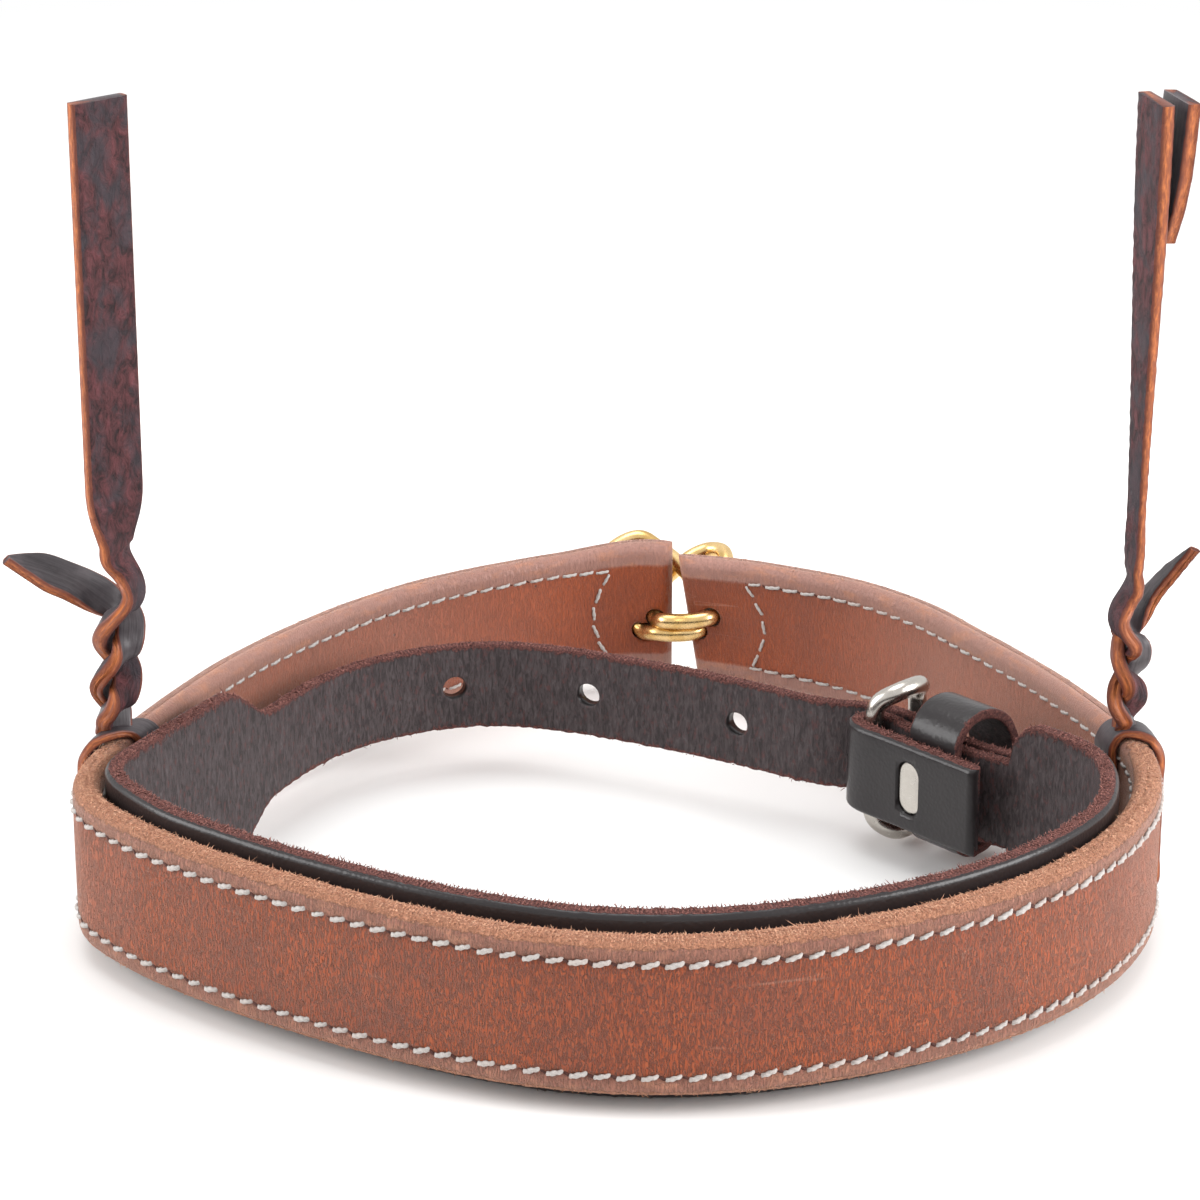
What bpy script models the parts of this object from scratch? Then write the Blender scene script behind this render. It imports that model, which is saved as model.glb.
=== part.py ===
"""Leather noseband: a double band lined by a black strap that buckles inside it, two brass rings, two tied hangers.

Metres, Z up. Plan points below are in millimetres, X across the nose, Y away from the front of the band.
"""

import math

import bpy
import numpy as np

MM = 0.001

# Driving dimensions, in millimetres
PLAN_SHIFT = (-0.07, 66.9)
BAND_BOTTOM = 3.2
BAND_TOP = 32.2
BAND_END_BOTTOM = 4.7
BAND_END_TOP = 30.7
PLY = 2.55
GAP = 0.3
LINER_TOP = 34.5
LINER_THICK = 3.4
STRAP_LOW = 8.2
STRAP_HIGH = 25.9
STRAP_THICK = 3.0
HOLE_RADIUS = 2.4
RING_WIRE = 1.4
RING_ROOM = 0.75
BUCKLE_WIRE = 1.8
TONGUE_WIRE = 0.8
FOLD_ROOM = 0.5
STUD_WIDE = 5.2
STUD_HIGH = 10.3
LOOP_THICK = 2.0
LOOP_WIDE = 10.5
CROWN_NARROWING = 3.0
TAIL_RAISE = 0.8
LOOP_ROOM = 0.6
HANGER_WIDE = 11.5
HANGER_THICK = 2.4
TAIL_THICK = 2.2
STRAND_WIDE = 5.4
STRAND_OUT = 3.25
STRAND_START = 38.2
PIVOT_HEIGHT = 37.0
SECOND_WIDE = 11.5
SECOND_THICK = 2.6
END_LEAN = 0.17
CROWN_CUT = 153.0

# Wire paths of the two brass rings, both through both end slots and splayed apart behind the band
RING_LEFT = [
    (7.5, 18.6, 14.9), (10.0, 16.0, 14.6), (15.0, 14.6, 14.3), (19.8, 13.8, 14.6),
    (22.4, 15.2, 15.4), (23.0, 18.8, 16.4), (22.6, 23.2, 18.0), (20.3, 26.4, 21.0),
    (17.0, 28.2, 25.2), (13.6, 29.8, 29.3), (8.4, 31.2, 32.7), (3.2, 30.4, 30.6),
    (1.4, 27.8, 25.0), (3.4, 25.6, 20.0), (6.0, 22.4, 16.9),
]
RING_RIGHT = [
    (11.0, 18.9, 18.0), (12.1, 16.0, 17.9), (16.0, 14.6, 17.7), (20.5, 13.6, 17.9),
    (24.2, 14.4, 18.5), (26.0, 17.4, 19.3), (26.6, 21.6, 21.0), (26.3, 26.0, 24.6),
    (26.5, 29.0, 27.0), (25.8, 32.0, 28.2), (23.2, 34.2, 27.4), (20.0, 34.0, 25.6),
    (16.8, 32.4, 23.4), (13.6, 29.8, 21.4), (11.4, 26.6, 19.8), (10.8, 22.6, 18.6),
]
RING_AXLE = (15.6, 20.2, 17.0)

BAND_OUTER_PATH = [
    (15.4, 24.5), (8, 25.3), (-0.2, 24.6), (-10, 21.2), (-20.5, 15.6), (-41.7, 0.9),
    (-60.3, -19.9), (-73.9, -40.3), (-85.2, -63.8), (-92.6, -83), (-95.8, -98),
    (-94.2, -108), (-86, -119.8), (-71, -133.6), (-53, -146.4), (-32.5, -158.2),
    (-9.7, -167), (8, -169.5), (25.6, -168.1), (44, -162.8), (65, -152.6),
    (79.4, -141.8), (93.7, -123.6), (101.3, -104), (102.6, -92), (100.9, -78),
    (95.8, -63.3), (88.4, -46.5), (77.4, -26.4), (65.6, -7), (53.6, 5.2),
    (42, 12.4), (30, 18.6), (19.3, 21.9),
]
LINER_LEFT_END = [
    (-64.9, -51.6), (-68.4, -57.5), (-73.2, -65.8), (-78.6, -75), (-83.6, -84.5),
]
LINER_RIGHT_END = [(90.6, -88.6), (84.3, -81.6), (78.6, -76.4)]
BILLET_CENTRE_PATH = [
    (-63.2, -51), (-60, -44.6), (-54, -35), (-41, -23.6), (-28, -18.4), (-20, -17.6),
    (-12, -19), (-3, -22), (8, -27), (19.8, -33), (29, -38.4),
]

# The buckle has its own axes: AWAY runs along the chape from its fold, OUT runs from the tab to the band
FOLD = (45.0, -57.0)
AWAY = (0.682, -0.731)
OUT = (0.731, 0.682)
BAR_AWAY = 5.2
BAR_OUT = 5.2
STUD_AWAY = 19.0


def clear_scene():
    for obj in list(bpy.data.objects):
        bpy.data.objects.remove(obj)


def material(name, colour, roughness, metallic=0.0):
    made = bpy.data.materials.new(name)
    made.use_nodes = True
    shader = made.node_tree.nodes["Principled BSDF"]
    shader.inputs["Base Color"].default_value = (*colour, 1.0)
    shader.inputs["Roughness"].default_value = roughness
    shader.inputs["Metallic"].default_value = metallic
    made.diffuse_color = (*colour, 1.0)
    return made


def buckle_point(away, out, z):
    return (
        FOLD[0] + AWAY[0] * away + OUT[0] * out,
        FOLD[1] + AWAY[1] * away + OUT[1] * out,
        z,
    )


def curve_at(points, closed=False, per=24):
    """Dense points of a smooth curve through these points."""
    pts = np.array(points, float)
    count = len(pts)
    if closed:
        pts = np.vstack([pts[-1], pts, pts[0], pts[1]])
        spans = count
    else:
        first = 2 * pts[0] - pts[1]
        last = 2 * pts[-1] - pts[-2]
        pts = np.vstack([first, pts, last])
        spans = count - 1
    out = []
    for i in range(spans):
        p0, p1, p2, p3 = pts[i : i + 4]
        k1 = max(np.linalg.norm(p2 - p1), 1e-6)
        k0 = max(np.linalg.norm(p1 - p0), 1e-6)
        k2 = max(np.linalg.norm(p3 - p2), 1e-6)
        m1 = ((p1 - p0) / k0 * k1 + (p2 - p1) / k1 * k0) / (k0 + k1) * k1
        m2 = ((p2 - p1) / k1 * k2 + (p3 - p2) / k2 * k1) / (k1 + k2) * k1
        for j in range(per):
            t = j / per
            a = 2 * t**3 - 3 * t**2 + 1
            b = t**3 - 2 * t**2 + t
            c = -2 * t**3 + 3 * t**2
            d = t**3 - t**2
            out.append(a * p1 + b * m1 + c * p2 + d * m2)
    if not closed:
        out.append(pts[-2])
    return np.array(out)


def even(points, step, closed=False):
    """The same curve with points about one step apart."""
    pts = np.array(points, float)
    if closed:
        pts = np.vstack([pts, pts[:1]])
    run = np.r_[0, np.cumsum(np.linalg.norm(np.diff(pts, axis=0), axis=1))]
    count = max(2, int(round(run[-1] / step)))
    at = np.linspace(0, run[-1], count + 1)
    if closed:
        at = at[:-1]
    return np.stack([np.interp(at, run, pts[:, k]) for k in range(pts.shape[1])], axis=1)


def tangents(path, closed=False):
    if closed:
        t = np.roll(path, -1, axis=0) - np.roll(path, 1, axis=0)
    else:
        t = np.gradient(path, axis=0)
    return t / np.linalg.norm(t, axis=1)[:, None]


def offset(path, distance):
    """A plan curve moved to its right-hand side."""
    t = tangents(path)
    return path + distance * np.stack([t[:, 1], -t[:, 0]], axis=1)


def rounded_section(half_a, half_b, corner, steps=2):
    """Outline of a rounded rectangle, anticlockwise."""
    out = []
    for sa, sb, start in ((1, 1, 0), (-1, 1, 90), (-1, -1, 180), (1, -1, 270)):
        for k in range(steps + 1):
            turn = math.radians(start + 90 * k / steps)
            out.append(
                (
                    sa * (half_a - corner) + corner * math.cos(turn),
                    sb * (half_b - corner) + corner * math.sin(turn),
                )
            )
    return out


def mesh_object(name, verts, faces, mat, joint=(0, 0, 0)):
    shift = np.array([PLAN_SHIFT[0], PLAN_SHIFT[1], 0.0])
    points = (np.array(verts, float) + shift) * MM
    origin = (np.array(joint, float) + shift) * MM if any(joint) else np.zeros(3)
    mesh = bpy.data.meshes.new(name)
    mesh.from_pydata([tuple(p - origin) for p in points], [], faces)
    mesh.update()
    mesh.materials.append(mat)
    obj = bpy.data.objects.new(name, mesh)
    obj.location = origin
    bpy.context.scene.collection.objects.link(obj)
    return obj


def swept(name, rings, mat, closed=False, joint=(0, 0, 0)):
    """A solid from a row of outlines with the same number of points."""
    rings = [np.array(r) for r in rings]
    n = len(rings[0])
    verts = np.vstack(rings)
    faces = []
    count = len(rings)
    for i in range(count if closed else count - 1):
        j = (i + 1) % count
        for k in range(n):
            m = (k + 1) % n
            faces.append((i * n + k, i * n + m, j * n + m, j * n + k))
    if not closed:
        faces.append(tuple(reversed(range(n))))
        faces.append(tuple((count - 1) * n + k for k in range(n)))
    centre_volume = 0.0
    for f in faces:
        a = verts[f[0]]
        for k in range(1, len(f) - 1):
            centre_volume += np.dot(a, np.cross(verts[f[k]], verts[f[k + 1]]))
    if centre_volume < 0:
        faces = [tuple(reversed(f)) for f in faces]
    return mesh_object(name, verts, faces, mat, joint)


def wall(name, path, thick, low, high, mat, corner=0.9, steps=2, lean=None):
    """An upright strap along a plan curve; low and high are heights at each point, lean tips an end."""
    t = tangents(path)
    rings = []
    if lean is None:
        lean = np.zeros(len(path))
    for i, (x, y) in enumerate(path):
        across = np.array([t[i, 1], -t[i, 0], 0.0])
        middle = np.array([x, y, (low[i] + high[i]) / 2])
        half = (high[i] - low[i]) / 2
        outline = rounded_section(thick / 2, half, min(corner, thick / 2 - 0.05), steps)
        up = np.array([t[i, 0] * lean[i], t[i, 1] * lean[i], 1.0])
        rings.append([middle + across * a + up * b for a, b in outline])
    return swept(name, rings, mat)


def ribbon(name, path, wide, widths, thick, mat, closed=False, joint=(0, 0, 0), corner=0.7):
    """A flat strap along a curve in space; wide is the direction of its width at each point."""
    t = tangents(path, closed)
    rings = []
    for i in range(len(path)):
        w = np.array(wide[i], float)
        w = w - t[i] * np.dot(w, t[i])
        w /= np.linalg.norm(w)
        n = np.cross(t[i], w)
        c = min(corner, thick / 2 - 0.05, widths[i] / 2 - 0.05)
        outline = rounded_section(widths[i] / 2, thick / 2, c)
        rings.append([path[i] + w * a + n * b for a, b in outline])
    return swept(name, rings, mat, closed=closed, joint=joint)


def rod(name, path, radius, mat, sides=10, closed=False, joint=(0, 0, 0)):
    """A round wire along a curve in space."""
    t = tangents(path, closed)
    side = np.cross(t[0], [0.0, 0.0, 1.0])
    if np.linalg.norm(side) < 0.1:
        side = np.cross(t[0], [0.0, 1.0, 0.0])
    side /= np.linalg.norm(side)
    rings = []
    for i in range(len(path)):
        side = side - t[i] * np.dot(side, t[i])
        side /= np.linalg.norm(side)
        up = np.cross(t[i], side)
        r = radius if np.isscalar(radius) else radius[i]
        rings.append(
            [
                path[i]
                + side * r * math.cos(2 * math.pi * k / sides)
                + up * r * math.sin(2 * math.pi * k / sides)
                for k in range(sides)
            ]
        )
    return swept(name, rings, mat, closed=closed, joint=joint)


def box(name, centre, along, half_along, half_across, low, high):
    """A plain upright block used as a cutter."""
    a = np.array([along[0], along[1], 0.0])
    a /= np.linalg.norm(a)
    b = np.array([-a[1], a[0], 0.0])
    c = np.array([centre[0], centre[1], 0.0])
    verts = []
    for z in (low, high):
        for sa, sb in ((1, 1), (-1, 1), (-1, -1), (1, -1)):
            verts.append(c + a * half_along * sa + b * half_across * sb + np.array([0, 0, z]))
    faces = [
        (3, 2, 1, 0), (4, 5, 6, 7), (0, 1, 5, 4),
        (1, 2, 6, 5), (2, 3, 7, 6), (3, 0, 4, 7),
    ]
    return mesh_object(name, verts, faces, CUT)


def drill(name, centre, axis, radius, length, sides=20):
    """A round cutter across a strap."""
    d = np.array([axis[0], axis[1], 0.0])
    d /= np.linalg.norm(d)
    start = np.array(centre, float) - d * length / 2
    path = np.array([start, start + d * length])
    return rod(name, path, radius, CUT, sides=sides)


def cut(target, *cutters):
    for cutter in cutters:
        cutter.hide_render = True
        cutter.display_type = "WIRE"
        step = target.modifiers.new("cut_" + cutter.name, "BOOLEAN")
        step.operation = "DIFFERENCE"
        step.solver = "EXACT"
        step.object = cutter


clear_scene()

RUSSET = material("band_leather", (0.28, 0.085, 0.045), 0.5)
RUSSET_IN = material("band_inner_leather", (0.24, 0.075, 0.045), 0.62)
BLACK = material("liner_leather", (0.022, 0.018, 0.019), 0.6)
DARK = material("latigo_leather", (0.035, 0.018, 0.018), 0.55)
BRASS = material("brass", (0.62, 0.43, 0.17), 0.22, 1.0)
NICKEL = material("nickel", (0.55, 0.53, 0.5), 0.25, 1.0)
CUT = material("cutter", (0.5, 0.5, 0.5), 0.5)


def make_band():
    outer = even(curve_at(BAND_OUTER_PATH), 6.0)
    run = np.r_[0, np.cumsum(np.linalg.norm(np.diff(outer, axis=0), axis=1))]
    total = run[-1]
    from_end = np.minimum(run, total - run)
    narrow = np.clip(1 - from_end / 120.0, 0, 1) ** 1.5
    low = BAND_BOTTOM + (BAND_END_BOTTOM - BAND_BOTTOM) * narrow
    high = BAND_TOP + (BAND_END_TOP - BAND_TOP) * narrow
    lean = END_LEAN * np.clip(1 - (total - run) / 20.0, 0, 1)
    made = []
    for name, depth, mat in (
        ("band_outer_ply", -PLY / 2, RUSSET),
        ("band_inner_ply", -PLY * 1.5 - GAP, RUSSET_IN),
    ):
        path = offset(outer, depth)
        made.append(wall(name, path, PLY, low, high, mat, steps=1, lean=lean))
    return made


def make_liner():
    band = even(curve_at(BAND_OUTER_PATH), 6.0)
    touching = offset(band, -(2 * PLY + 2.6 * GAP))
    front = [tuple(p) for p in touching[touching[:, 1] < -97][::4]]
    outer = even(curve_at(LINER_LEFT_END + front + LINER_RIGHT_END), 5.0)
    path = offset(outer, -LINER_THICK / 2)
    run = np.r_[0, np.cumsum(np.linalg.norm(np.diff(path, axis=0), axis=1))]
    total = run[-1]
    shoulder = np.clip(run / 16.0, 0, 1)
    ease = shoulder * shoulder * (3 - 2 * shoulder)
    corner = np.clip((total - run) / 7.0, 0, 1)
    ease_right = np.sqrt(np.clip(1 - (1 - corner) ** 2, 0, 1))
    grow = np.minimum(ease, ease_right)
    low = STRAP_LOW * (1 - grow)
    high = STRAP_HIGH + (LINER_TOP - STRAP_HIGH) * grow
    return wall("liner_wide", path, LINER_THICK, low, high, BLACK, steps=1)


def make_billet():
    beyond = [
        (-6, 6.6), (-0.6, 10.4), (5, 12.6), (12, 12.2), (20, 11.0),
        (30, 11.6), (38, 13.4), (47, 16.0),
    ]
    points = list(BILLET_CENTRE_PATH)
    points += [buckle_point(a, o, 0)[:2] for a, o in beyond]
    path = even(curve_at(points), 4.0)
    run = np.r_[0, np.cumsum(np.linalg.norm(np.diff(path, axis=0), axis=1))]
    point = np.clip((run[-1] - run) / 12.0, 0, 1)
    half = (STRAP_HIGH - STRAP_LOW) / 2
    taper = half * (0.35 + 0.65 * np.sqrt(np.clip(1 - (1 - point) ** 2, 0, 1)))
    middle = (STRAP_HIGH + STRAP_LOW) / 2
    billet = wall("billet_strap", path, STRAP_THICK, middle - taper, middle + taper, BLACK)
    t = tangents(path)
    holes = [(-29.6, -18.9), (-1.8, -22.5), (27.4, -37.5)]
    for k, (x, y) in enumerate(holes):
        i = int(np.argmin(np.hypot(path[:, 0] - x, path[:, 1] - y)))
        across = (t[i, 1], -t[i, 0])
        cut(billet, drill(f"hole_cutter_{k}", (*path[i], middle), across, HOLE_RADIUS, 8))
    x, y, _ = buckle_point(BAR_AWAY + 3.4, 12.5, 0)
    cut(billet, drill("hole_cutter_buckle", (x, y, middle), OUT, HOLE_RADIUS, 9))
    return billet


def make_chape():
    """Narrow end of the liner: along the outside, round the buckle's bar and back as the tab."""
    radius = BUCKLE_WIRE + FOLD_ROOM + STRAP_THICK / 2
    points = [(36.4, 9.5), (33.5, 8.8), (28, 7.7), (20, 7.2), (13, 7.9)]
    for deg in range(90, -91, -20):
        a = BAR_AWAY - radius * math.cos(math.radians(deg))
        o = BAR_OUT + radius * math.sin(math.radians(deg))
        points.append((a, o))
    points += [(12, 1.5), (20, 1.5), (28, 1.5), (35.4, 1.5)]
    plan = [buckle_point(a, o, 0)[:2] for a, o in points]
    path = even(curve_at(plan, per=12), 2.4)
    low = np.full(len(path), STRAP_LOW)
    high = np.full(len(path), STRAP_HIGH)
    chape = wall("chape_strap", path, STRAP_THICK, low, high, BLACK)
    middle = (STRAP_HIGH + STRAP_LOW) / 2
    x, y, _ = buckle_point(7.7, 7.4, 0)
    cut(chape, box("tongue_slot_cutter", (x, y), AWAY, 6.5, 6.2, middle - 1.6, middle + 1.6))
    x, y, _ = buckle_point(STUD_AWAY, 5.0, 0)
    wide = STUD_WIDE / 2 + GAP
    high = STUD_HIGH / 2 + GAP
    cut(chape, box("stud_cutter", (x, y), AWAY, wide, 7.0, middle - high, middle + high))
    return chape


def make_stud():
    """Oblong nickel stud that holds the tab, the keeper's base and the chape together."""
    middle = (STRAP_HIGH + STRAP_LOW) / 2
    outline = rounded_section(STUD_WIDE / 2, STUD_HIGH / 2, STUD_WIDE / 2 - 0.1, steps=4)
    rings = []
    for out in (0.5, 8.4):
        base = np.array(buckle_point(STUD_AWAY, out, middle))
        along = np.array([AWAY[0], AWAY[1], 0.0])
        rings.append([base + along * a + np.array([0, 0, b]) for a, b in outline])
    return swept("chape_stud", rings, NICKEL)


def make_keeper():
    loop = [
        (4.3, 18), (4.3, 12), (4.8, 7.4), (7.6, 4.7), (12.5, 4.2), (17.5, 6.8),
        (20.6, 12), (21.4, 18), (20.6, 24), (17.5, 29.2), (12.5, 31.6), (7.6, 31.0),
        (4.8, 28.2), (4.3, 24),
    ]
    path = even(curve_at([buckle_point(22.0, o, z) for o, z in loop], closed=True), 2.6, True)
    along = np.tile([AWAY[0], AWAY[1], 0.0], (len(path), 1))
    keeper = ribbon("keeper_loop", path, along, [12.0] * len(path), 2.0, BLACK, closed=True)
    middle = (STRAP_HIGH + STRAP_LOW) / 2
    x, y, _ = buckle_point(STUD_AWAY, 5.0, 0)
    wide = STUD_WIDE / 2 + GAP
    high = STUD_HIGH / 2 + GAP
    cut(keeper, box("keeper_cutter", (x, y), AWAY, wide, 3.0, middle - high, middle + high))
    return keeper


def make_buckle():
    bar = buckle_point(BAR_AWAY, BAR_OUT, 17.0)
    far = 17.6
    loop = []
    for o, z in (
        (BAR_OUT, 17), (BAR_OUT, 25), (BAR_OUT + 0.5, 29), (BAR_OUT + 3.2, 31.4),
        ((BAR_OUT + far) / 2, 31.7), (far - 2.6, 31), (far - 0.2, 27.8), (far, 23), (far, 17),
        (far, 11), (far - 0.2, 6.4), (far - 2.6, 3.2), ((BAR_OUT + far) / 2, 2.4),
        (BAR_OUT + 3.2, 2.7), (BAR_OUT + 0.5, 5.2), (BAR_OUT, 9),
    ):
        lean = 3.6 * max(0.0, (abs(z - 17) - 11.0) / 3.7) ** 1.3
        loop.append(buckle_point(BAR_AWAY + lean, o, z))
    path = even(curve_at(loop, closed=True), 1.9, True)
    frame = rod("buckle_frame", path, BUCKLE_WIRE, NICKEL, sides=10, closed=True, joint=bar)
    points = []
    for deg in range(110, 351, 20):
        r = BUCKLE_WIRE + 0.25 + TONGUE_WIRE
        turn = math.radians(deg)
        points.append((BAR_AWAY + r * math.cos(turn), BAR_OUT + r * math.sin(turn)))
    points += [(BAR_AWAY + 3.1, BAR_OUT + 2.2), (BAR_AWAY + 3.4, 12.5), (BAR_AWAY + 3.3, far + 1.6)]
    tongue = even(curve_at([buckle_point(a, o, 17.05) for a, o in points], per=8), 1.3)
    return frame, tongue, bar


def make_rings(plies):
    made = []
    for name, place in (("ring_left", RING_LEFT), ("ring_right", RING_RIGHT)):
        path = even(curve_at(place, closed=True), 1.9, True)
        made.append(rod(name, path, RING_WIRE, BRASS, sides=10, closed=True, joint=RING_AXLE))
        cutter = rod(name + "_cutter", path, RING_WIRE + RING_ROOM, CUT, sides=12, closed=True)
        for ply in plies:
            cut(ply, cutter)
    return made


def make_hanger(side, sign, foot, top, face_turn, crossing, turn_per_mm, tail_tip):
    """One tied hanger strap: the upright with its strand, and the strand that ends in the tail.

    The two strands wind round each other below the upright, each with an edge to the front.
    """
    pivot = (foot[0], foot[1], PIVOT_HEIGHT)

    def axis_at(z):
        k = np.clip((z - PIVOT_HEIGHT) / 21.0, 0, 1)
        return np.array([foot[0] + (top[0] - foot[0]) * k, foot[1] + (top[1] - foot[1]) * k, z])

    def strand(low, high, half_turn):
        path, wide, widths = [], [], []
        for z in np.arange(low, high + 0.01, 1.5):
            turn = math.radians(-90 - sign * turn_per_mm * (crossing - z) + half_turn)
            out = STRAND_OUT * np.clip((crossing + 13 - z) / 11, 0, 1)
            path.append(axis_at(z) + out * np.array([math.cos(turn), math.sin(turn), 0.0]))
            flat = np.clip((z - crossing - 3) / 11, 0, 1)
            flat = flat * flat * (3 - 2 * flat)
            lie = -90 - sign * (10 + 12 * math.cos(turn) * sign)
            lie = math.radians(lie * (1 - flat) + (face_turn - sign * 90) * flat)
            wide.append(np.array([math.cos(lie), math.sin(lie), 0.0]))
            widths.append(STRAND_WIDE + (HANGER_WIDE - STRAND_WIDE) * flat)
        return path, wide, widths

    path, wide, widths = strand(STRAND_START, crossing + 17, 0)
    for z in (85.0, 100.0, 118.0, 136.0, CROWN_CUT):
        path.append(np.array([top[0], top[1], z]))
        wide.append(wide[-1])
        widths.append(HANGER_WIDE)
    strap = ribbon(
        f"hanger_{side}_strap", np.array(path), wide, widths, HANGER_THICK, DARK, joint=pivot
    )
    path, wide, widths = strand(STRAND_START + TAIL_RAISE, crossing - 1.5, 180)
    tip = np.array(tail_tip, float)
    start = path[-1]
    way = tip - start
    for k in (0.12, 0.24, 0.38, 0.52, 0.68, 0.84, 1.0):
        bow = np.array([0, 3.4 * math.sin(math.pi * k) + 1.6 * (1 - k), -2.5 * math.sin(math.pi * k)])
        path.append(start + way * k + bow)
        lie = math.radians(20 + 46 * np.clip((k - 0.12) / 0.36, 0, 1))
        wide.append(np.array([0.0, -math.sin(lie), -math.cos(lie)]))
        widths.append(STRAND_WIDE + 3.2 * min(1, k / 0.5) - 5.0 * max(0, (k - 0.68) / 0.32))
    wide[-8] = wide[-8] + np.array([0, 0, -0.3])
    tail = ribbon(
        f"hanger_{side}_tail", np.array(path), wide, widths, TAIL_THICK, DARK, joint=pivot
    )
    return strap, tail


def make_loop(side, at, outer_shift, inner_shift):
    """Turn of the hanger strap round the band.

    It crosses the rim on a slant: the shifts say how far its outer and inner sides stand along
    the band from the place where the strap is tied.
    """
    band = even(curve_at(BAND_OUTER_PATH), 1.0)
    run = np.arange(len(band)) * np.linalg.norm(band[1] - band[0])
    along = tangents(band)
    tied = run[np.argmin(np.linalg.norm(band - np.array(at), axis=1))]
    outside = LOOP_THICK / 2 + 0.5
    inside = -(2 * PLY + GAP + LOOP_ROOM + LOOP_THICK / 2)
    under = BAND_BOTTOM - LOOP_THICK / 2 - 0.45
    over = BAND_TOP + LOOP_THICK / 2 + 2.3
    middle = (outside + inside) / 2
    loop = [
        (outside, 18), (outside, 10), (outside - 0.1, under + 2.65), (outside - 1.3, under + 0.35),
        (middle, under), (inside + 1.4, under + 0.35), (inside + 0.05, under + 2.65),
        (inside, 10), (inside, 18), (inside, 26), (inside + 0.1, over - 3.3),
        (inside + 1.6, over - 0.9), (middle, over), (outside - 1.5, over - 0.9),
        (outside - 0.1, over - 3.3), (outside, 26),
    ]
    path = even(curve_at(loop, closed=True), 2.6, True)
    points, wide = [], []
    for n, z in path:
        share = (n - inside) / (outside - inside)
        place = tied + inner_shift + (outer_shift - inner_shift) * share
        x, y, tx, ty = (np.interp(place, run, column) for column in (*band.T, *along.T))
        points.append(np.array([x + ty * n, y - tx * n, z]))
        wide.append(np.array([tx, ty, 0.0]))
    thickness = np.cross(tangents(np.array(points), True), wide)
    thickness /= np.linalg.norm(thickness, axis=1)[:, None]
    rings = []
    for point, w, up in zip(points, wide, thickness):
        width = LOOP_WIDE - CROWN_NARROWING * np.clip((point[2] - 27) / (over - 27), 0, 1)
        outline = rounded_section(width / 2, LOOP_THICK / 2, 0.7)
        rings.append([point + w * a + up * b for a, b in outline])
    return swept(f"hanger_{side}_loop", rings, DARK, closed=True)


plies = make_band()
make_liner()
make_billet()
make_chape()
make_stud()
make_keeper()
frame, tongue_path, bar_at = make_buckle()
rod("buckle_tongue", tongue_path, TONGUE_WIRE, NICKEL, sides=8, joint=bar_at)
make_rings(plies)
make_hanger("left", 1, (-90.4, -80.0), (-88.2, -80.0), -50, 57.0, 18.95, (-111.5, -80.0, 66.5))
make_hanger("right", -1, (97.0, -80.0), (97.6, -80.0), -164, 52.0, 22.0, (111.5, -80.0, 69.0))
make_loop("left", (-91.5, -80.0), 6.0, -5.0)
make_loop("right", (101.5, -81.0), -6.0, 4.0)

# Doubled end of the right hanger strap, cut slanting, where the photo stops
path = []
for z in (127.0, 133.0, 140.0, 147.0, CROWN_CUT):
    away = 2.95 + 2.0 * (z - 127.0) / 26.0
    path.append((97.6 + 0.961 * away, -80.0 + 0.276 * away, z))
path = np.array(path)
wide = np.tile([math.cos(math.radians(-74)), math.sin(math.radians(-74)), 0.0], (5, 1))
widths = [4.0, 9.0, SECOND_WIDE, SECOND_WIDE, SECOND_WIDE]
ribbon("hanger_right_second_ply", path, wide, widths, SECOND_THICK, DARK)
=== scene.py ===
"""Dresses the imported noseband: russet band, black lining strap, brass rings and tied hangers.

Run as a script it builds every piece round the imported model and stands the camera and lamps.
Plan points are in millimetres, X across the nose and Y away from the front of the band.
"""

import math

import bpy
import numpy as np
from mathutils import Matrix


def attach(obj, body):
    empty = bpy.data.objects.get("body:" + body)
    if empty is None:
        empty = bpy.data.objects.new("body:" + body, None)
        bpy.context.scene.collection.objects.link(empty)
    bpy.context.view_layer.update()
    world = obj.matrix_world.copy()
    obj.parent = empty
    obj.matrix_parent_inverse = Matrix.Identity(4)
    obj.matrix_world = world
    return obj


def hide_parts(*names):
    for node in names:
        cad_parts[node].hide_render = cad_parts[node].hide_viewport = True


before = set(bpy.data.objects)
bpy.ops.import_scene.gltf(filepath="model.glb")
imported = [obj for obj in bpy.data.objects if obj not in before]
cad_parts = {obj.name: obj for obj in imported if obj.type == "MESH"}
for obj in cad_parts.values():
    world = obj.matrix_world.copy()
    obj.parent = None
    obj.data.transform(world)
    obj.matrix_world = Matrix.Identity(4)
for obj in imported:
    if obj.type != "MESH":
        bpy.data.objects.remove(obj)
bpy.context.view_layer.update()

bl_info = {
    "name": "Noseband",
    "version": (1, 0, 0),
    "blender": (4, 5, 0),
    "location": "3D View > Sidebar > Noseband",
    "description": "Builds a stitched leather noseband with its lining strap, rings and hangers",
    "category": "Add Mesh",
}

MM = 0.001
SHIFT = np.array((-0.07, 66.9, 0.0))
UP = np.array((0.0, 0.0, 1.0))
NOSEBAND = "noseband"

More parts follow.
